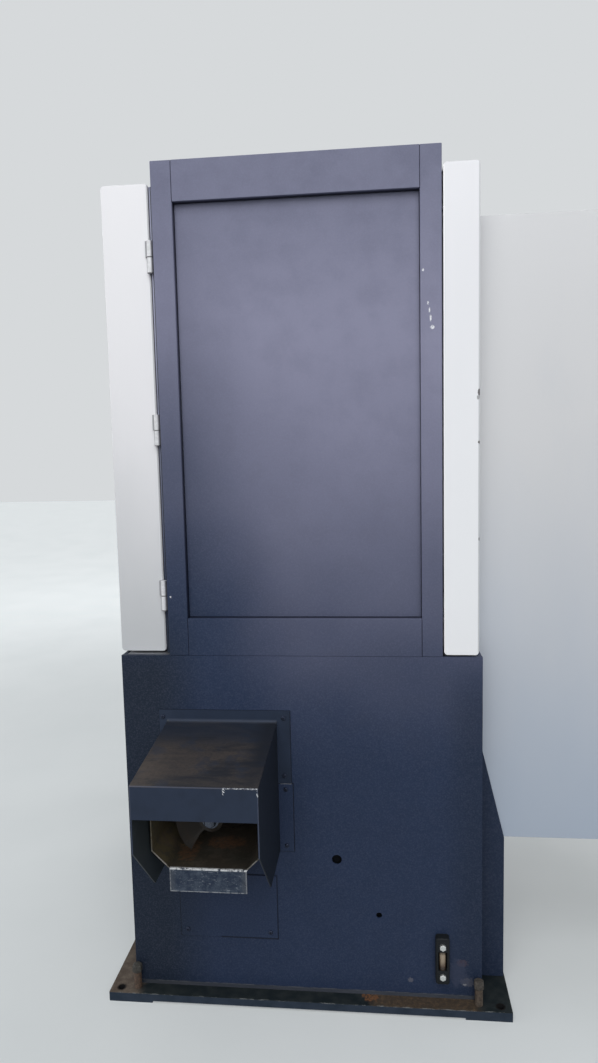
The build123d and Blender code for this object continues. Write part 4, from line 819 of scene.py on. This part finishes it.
def turned(name, rings, sides):
    """Turns a piece on the Z axis, as on a lathe. Each ring is (height, radius), from the bottom up."""
    (low, radius), (high, top_radius) = rings[:2]
    bpy.ops.mesh.primitive_cylinder_add(vertices=sides, radius=radius, depth=high - low,
                                        location=(0, 0, (low + high) / 2))
    piece = fix_place(bpy.context.active_object)
    piece.name = name
    only_faces(piece, lambda middle, normal: normal.z > 0.9)
    scale = top_radius / radius
    bpy.ops.transform.resize(value=(scale, scale, 1), center_override=(0, 0, high))
    for (height, radius), (next_height, next_radius) in zip(rings[1:], rings[2:]):
        scale = next_radius / radius
        bpy.ops.mesh.extrude_region_move(TRANSFORM_OT_translate={"value": (0, 0, next_height - height)})
        bpy.ops.transform.resize(value=(scale, scale, 1), center_override=(0, 0, next_height))
    bpy.ops.object.mode_set(mode="OBJECT")
    return piece


def cut(piece, cutter):
    """Takes the shape of a cutter out of a piece and throws the cutter away."""
    modify(piece, "BOOLEAN", object=cutter, operation="DIFFERENCE", solver="EXACT")
    bpy.data.objects.remove(cutter)


def copies(piece, name, places):
    """Copies a piece to each place, each with its own mesh, and joins them into one."""
    made = []
    for where in places:
        twin = piece.copy()
        twin.data = piece.data.copy()
        scene.collection.objects.link(twin)
        twin.location = where
        made.append(fix_place(twin))
    bpy.data.objects.remove(piece)
    return joined(name, made)


def joined(name, parts):
    """Joins parts into the first one and names it."""
    only(parts[0])
    for thing in parts[1:]:
        thing.select_set(True)
    bpy.ops.object.join()
    parts[0].name = name
    return parts[0]


def settle(piece, material, body, nodes=(), angle=40):
    """Smooths a piece, and gives it its finish, its body and the solids it stands for."""
    fix_place(piece)
    bpy.ops.object.shade_smooth_by_angle(angle=math.radians(angle))
    dress(piece, material)
    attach(piece, body)
    if nodes:
        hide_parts(*nodes)
    return piece


merge_distance, flat_angle, hard_angle = 0.00002, 0.3, 32


def finish_solid(node, material, edge):
    """Copy that stands for a solid, with merged corners and with edges rounded by edge mm."""
    solid = frame["nodes"][node]
    piece = bpy.data.objects.new(node + "_finished", solid.data.copy())
    scene.collection.objects.link(piece)
    only(piece)
    bpy.ops.object.mode_set(mode="EDIT")
    bpy.ops.mesh.select_all(action="SELECT")
    bpy.ops.mesh.remove_doubles(threshold=merge_distance)
    bpy.ops.mesh.dissolve_limited(angle_limit=math.radians(flat_angle))
    bpy.ops.object.mode_set(mode="OBJECT")
    if edge:
        soften(piece, edge / 1000, 2, hard_angle)
    settle(piece, material, solid["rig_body"], [node])
    modify(piece, "WEIGHTED_NORMAL", keep_sharp=True)
    return piece


# %% [markdown]
# One table says which finish each piece gets and by how many mm its edges are rounded. Heavy
# plate is broken by 1.5 to 2 mm, castings and box sections by up to 3 mm, thin sheet by under
# 1 mm, and small parts by a few tenths. The auger, blade, brush and sight tube stay as they are.

# %% Finish every solid
finishes = {
    "foot_plate": (plate_finish, 1.5), "floor_pads": (plate_finish, 0.8),
    "base_rear_wall": (base_blue, 2), "base_left_wall": (base_blue, 2),
    "base_right_wall": (base_blue, 2), "base_front_wall": (base_blue, 2),
    "base_table": (machined_steel, 1), "side_gusset": (base_blue, 1),
    "chip_hood": (hood_finish, 0.7), "hood_side_trims": (base_blue, 0.6),
    "lower_cover": (base_blue, 0.6), "chip_trough": (trough_finish, 0.7),
    "chip_auger": (auger_steel, 0), "auger_gearmotor": (motor_grey, 1),
    "fluid_tank": (tank_paint, 1), "level_gauge_body": (gauge_black, 1.2),
    "level_gauge_tube": (oil_sight, 0), "left_stile": (column_blue, 3),
    "right_stile": (column_blue, 3), "top_rail": (column_blue, 1.5),
    "bottom_rail": (column_blue, 1.5), "rear_panel": (column_blue, 1),
    "hinge_strip": (strip_blue, 1.5), "cabinet_roof": (column_blue, 2),
    "front_frame": (column_blue, 1.5), "right_cover": (cover_silver, 0.7),
    "outfeed_cover": (door_silver, 0.7), "blade_door": (door_silver, 0.7),
    "hinge_sockets": (hinge_silver, 1.6), "hinge_pintles": (hinge_silver, 1.6),
    "door_latch": (zinc_plate, 0.8), "left_guide_rail": (machined_steel, 0.6),
    "right_guide_rail": (machined_steel, 0.6), "head_saddle": (casting, 2),
    "gearbox_housing": (casting, 3), "main_motor": (motor_grey, 0.8),
    "saw_spindle": (machined_steel, 1), "saw_blade": (blade_steel, 0),
    "clamp_flange": (machined_steel, 0.8), "chip_brush": (brush_brass, 0),
    "screw_servo": (black_moulding, 1), "vise_bed": (casting, 3),
    "clamp_cylinder": (machined_steel, 1), "vise_jaw": (machined_steel, 1),
    "infeed_beam": (casting, 2), "feed_carriage": (casting, 1.5), "feed_jaw": (machined_steel, 1),
    "enclosure_shell": (enclosure_grey, 0.7), "enclosure_end_panel": (enclosure_grey, 1),
    "front_door": (door_silver, 0.8), "front_window": (window_clear, 0.6),
    "control_box": (enclosure_grey, 1.5), "emergency_stop": (red_moulding, 0.6),
    "start_button": (green_moulding, 0.4), "auger_end_bolt": (wet_bolt, 0.6),
    "level_gauge_bolts": (zinc_plate, 0.5),
}
pieces = {node: finish_solid(node, *finish) for node, finish in finishes.items()}
print("finished solids:", len(pieces), "left out:", sorted(set(frame["nodes"]) - set(pieces)))

# %% [markdown]
# The eight screws of the rear covers are button heads with a hexagon socket. One is turned on
# the lathe helper from its outline, a six-sided cutter takes out the socket, and then it is
# copied to every hole. Lying down towards us is a quarter turn about the X axis.

# %% Cover screws
screw_holes = [(-0.6375, 0.754), (-0.3295, 0.754), (-0.3295, 0.604), (-0.6375, 0.604),
               (-0.328, 0.568), (-0.328, 0.419), (-0.594, 0.181), (-0.376, 0.181)]
dark_screw = metal("dark_screw", rgb(50, 56, 72), rgb(24, 28, 38), 0.38, size=0.002, tarnish=0.8)
shank, rim, crown_height = 0.0030, 0.0055, 0.0030
screw = turned("cover_screw", [(-0.010, shank), (-0.0002, shank), (0.0, rim), (0.0016, rim),
                               (0.0024, 0.0050), (0.0029, 0.0041), (crown_height, 0.0034)], 24)
socket_radius, socket_depth = 0.0023, 0.0018
bpy.ops.mesh.primitive_cylinder_add(vertices=6, radius=socket_radius, depth=2 * socket_depth,
                                    location=(0, 0, crown_height))
cut(screw, fix_place(bpy.context.active_object))
screw.rotation_euler = (math.radians(90), 0, 0)
fix_place(screw)
screws = copies(screw, "cover_screws_finished", [(x, cover_face, z) for x, z in screw_holes])
settle(screws, dark_screw, "machine_frame", ["cover_screws"])
print("cover screws:", len(screw_holes), "faces:", len(screws.data.polygons))

# %% [markdown]
# The levelling bolts lift the machine off its pads. Their threads are rusty and their heads
# worn round. A thread could be a true helix, but rings as far apart as its pitch look the same at
# this size and stay a closed shape, so the lathe helper cuts them one by one.

# %% Jack bolts with threads
def rusty_bolt_finish():
    """Rust on the thread, and a worn dark head that is paler on the right-hand bolts."""
    material, tree, shader = start_finish("rusty_bolt")
    to_right = ramp(tree, "X", -0.5, -0.1)
    patch = patches(tree, 0.35, 0.7, 0.008, 5.0, 0.7)
    rust = lay(patch, lay(to_right, rgb(86, 66, 52), rgb(82, 70, 58)), rgb(50, 42, 36))
    knob = lay(patch, lay(to_right, rgb(60, 58, 54), rgb(72, 66, 60)), rgb(38, 36, 33))
    colour = lay(ramp(tree, "Z", head_low - 0.002, head_low + 0.001), rust, knob)
    plug(shader, {"Base Color": colour, "Roughness": times_plus(patch, 0.2, 0.62),
                  "Normal": relief(cloud(tree, 0.004, 3.0), 0.0005)})
    return material


pad_top, head_low, head_top = 0.005, 0.069, 0.089
pitch, root, crest, head_radius = 0.0025, 0.0087, 0.0100, 0.0135
thread = [(pad_top, root)]
while thread[-1][0] < head_low - pitch:
    foot = thread[-1][0]
    thread += [(foot + pitch * 0.4, crest), (foot + pitch * 0.6, crest), (foot + pitch, root)]
thread.append((head_low + 0.0005, root))
bolt = turned("jack_bolt", thread, 24)
head = turned("jack_head", [(head_low, 0.0118), (head_low + 0.0015, head_radius), (0.0850, head_radius),
                            (0.0880, 0.0122), (head_top, 0.0095)], 6)
soften(head, 0.0022, 3)
bolt = joined("jack_bolt", [bolt, head])
corners = [(x, y, 0) for x in (-0.730, 0.150) for y in (-0.538, 0.804)]
bolts = copies(bolt, "jack_bolts_finished", corners)
settle(bolts, rusty_bolt_finish(), "machine_frame", ["jack_bolts"], 30)
print("jack bolts:", len(corners), "faces:", len(bolts.data.polygons))

# %% [markdown]
# The feed screw that moves the saw head gets its thread the same way. Its journal at the rear
# stays plain up to the shoulder, because it runs in the bearing block.

# %% Feed screw with its thread
low, high = (Vector(corner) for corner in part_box("feed_screw"))
shoulder = -0.132
start, length, pitch = shoulder - low.y, high.y - low.y, 0.005
journal, root, crest = 0.0120, 0.0146, 0.0160
profile = [(0.0, journal - 0.0008), (0.0008, journal), (start, journal), (start + 0.0002, root)]
while profile[-1][0] < length - 2 * pitch:
    foot = profile[-1][0]
    profile += [(foot + 0.0008, crest), (foot + 0.0027, crest), (foot + 0.0035, root), (foot + pitch, root)]
profile += [(length - 0.003, crest), (length, crest - 0.003)]
feed_screw = turned("feed_screw_finished", profile, 28)
feed_screw.rotation_euler = (math.radians(-90), 0, 0)
centre = (low + high) / 2
feed_screw.location = (centre.x, low.y, centre.z)
settle(feed_screw, machined_steel, "feed_screw", ["feed_screw"], 30)
print("feed screw rings:", len(profile), "length in mm:", round(1000 * length))

# %% [markdown]
# The operator's door has a clear window held by a black rubber profile. A flat plate is inset,
# its middle deleted, and the ring that stays is given its thickness and a rounded edge.

# %% Window seal
rubber = grained("rubber", rgb(30, 31, 33), rgb(44, 45, 48), 0.6, 0.0015, 0.0001)
low, high = (Vector(corner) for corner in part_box("front_window"))
rim, overlap, depth, face = 0.014, 0.004, 0.004, 0.746
width, height = high.x - low.x + 2 * overlap, high.z - low.z + 2 * overlap
centre = (low + high) / 2
bpy.ops.mesh.primitive_plane_add(size=1, location=(centre.x, face, centre.z))
seal = bpy.context.active_object
seal.name = "window_seal"
seal.scale = (width, height, 1)
seal.rotation_euler = (math.radians(-90), 0, 0)
fix_place(seal)
only_faces(seal, lambda middle, normal: True)
bpy.ops.mesh.inset(thickness=rim)
bpy.ops.mesh.delete(type="FACE")
bpy.ops.object.mode_set(mode="OBJECT")
modify(seal, "SOLIDIFY", thickness=depth, offset=1.0)
soften(seal, 0.0012)
settle(seal, rubber, "front_door")
print("window seal in mm:", round(1000 * width), round(1000 * height))

# %% [markdown]
# The control box has a recess for its screen. A dark glass plate fills it, a row of soft keys
# sits under it, and the stop button stands in a yellow collar so that it is found at once.

# %% Screen, keys and collar
screen_glass = grained("screen_glass", rgb(12, 15, 20), rgb(18, 22, 28), 0.08, 0.05, 0.00005, coat=0.6)
key_grey = grained("key_grey", rgb(70, 74, 80), rgb(56, 60, 66), 0.5, 0.001, 0.0001)
collar_yellow = grained("collar_yellow", rgb(226, 178, 28), rgb(196, 150, 24), 0.4, coat=0.3)
box_low, box_high = (Vector(corner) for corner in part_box("control_box"))
middle, front = (box_low.x + box_high.x) / 2, box_high.y
screen_top, screen_width, screen_height, gap = box_high.z - 0.050, 0.220, 0.165, 0.0015
glass_half = screen_width / 2 - gap
glass = bar("screen_glass", (middle - glass_half, front - 0.0038, screen_top - screen_height + gap),
            (middle + glass_half, front - 0.0012, screen_top - gap), 0.0008)
settle(glass, screen_glass, "machine_frame")
key_pitch, key_height = 0.034, screen_top - screen_height - 0.025
key = bar("key", (-0.011, front, -0.006), (0.011, front + 0.0016, 0.006), 0.0007)
row = [(middle + (step - 2.5) * key_pitch, 0, key_height) for step in range(6)]
keys = settle(copies(key, "soft_keys", row), key_grey, "machine_frame")
stop_low, stop_high = (Vector(corner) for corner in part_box("emergency_stop"))
outer, inner, raised = 0.030, 0.0135, 0.0015
collar = turned("stop_collar", [(0.0, outer), (0.0009, outer), (raised, 0.0293), (raised, inner),
                                (0.0001, 0.0130)], 48)
collar.rotation_euler = (math.radians(-90), 0, 0)
centre = (stop_low + stop_high) / 2
collar.location = (centre.x, front, centre.z)
settle(collar, collar_yellow, "machine_frame")
print("screen, keys and collar:", glass.name, len(keys.data.polygons), collar.name)

# %% [markdown]
# The machine stands in a plain studio: a pale floor that runs into a pale world. Both look pale
# to the eye and in reflections, but send less light back, as a dull workshop would. A plain
# white floor would be simpler, but it would light the machine's foot from below.


# %% Floor and world
def seen_directly(tree):
    """1 for what the eye, a mirror or glass sees, and 0 for the light that a surface sends back."""
    rays = add(tree, "LightPath", {}).outputs
    return either(rays["Is Camera Ray"], rays["Is Glossy Ray"], rays["Is Transmission Ray"])


bpy.ops.mesh.primitive_plane_add(size=40, location=(0, 0, 0))
floor = bpy.context.active_object
floor.name = "studio_floor"
floor_finish, tree, shader = start_finish("studio_floor")
shows = seen_directly(tree)
pale = lay(patches(tree, 0.3, 0.8, 0.4, 5.0), rgb(212, 216, 217), rgb(204, 209, 210))
away = add(tree, "VectorMath", {0: place(tree)}, operation="LENGTH").outputs["Value"]
glow = times_plus(fade(away, 2.0, 6.0), 0.5, 0.35)
plug(shader, {"Base Color": lay(shows, rgb(120, 122, 122), rgb(178, 182, 183)),
              "Emission Color": pale, "Emission Strength": both(shows, glow),
              "Specular IOR Level": 0.1, "Roughness": 0.7})
dress(floor, floor_finish)

world = scene.world or bpy.data.worlds.new("studio")
scene.world = world
world.use_nodes = True
sky = world.node_tree
sky_colour = lay(seen_directly(sky), rgb(157, 159, 162), rgb(214, 217, 219))
plug(sky.nodes["Background"], {"Color": sky_colour, "Strength": 1.0})
print("studio:", floor.name, world.name)

# %% [markdown]
# One large soft lamp hangs high behind us and grades the steel from light at the top to darker
# at the foot. A wide soft panel further back is what the gloss paint mirrors. A fill lamp
# stands at the left, one at the right and one in front, so that no side is left dark.


# %% Lamps
def soft_lamp(name, where, towards, width, height, power):
    """Adds a rectangular lamp at one place that faces another."""
    lamp_data = bpy.data.lights.new(name, "AREA")
    lamp_data.shape = "RECTANGLE"
    lamp_data.size, lamp_data.size_y, lamp_data.energy = width, height, power
    lamp = bpy.data.objects.new(name, lamp_data)
    lamp.location = where
    lamp.rotation_euler = (Vector(towards) - Vector(where)).to_track_quat("-Z", "Y").to_euler()
    scene.collection.objects.link(lamp)


soft_lamp("high_lamp", (-0.4, -3.2, 4.4), (-0.2, -0.5, 1.6), 3.0, 2.0, 72)
soft_lamp("window_panel", (0.6, -6.5, 3.6), (0.0, 0.0, 1.7), 6.0, 3.0, 165)
soft_lamp("left_fill", (-5.0, -1.5, 2.6), (0, 0, 1.0), 2.5, 2.5, 58)
soft_lamp("right_fill", (5.5, 2.5, 3.0), (0.8, 0.2, 1.0), 2.5, 2.5, 85)
soft_lamp("front_fill", (1.5, 5.5, 3.6), (0, 0.5, 1.2), 3.0, 2.5, 130)
scene.view_settings.view_transform = "Standard"
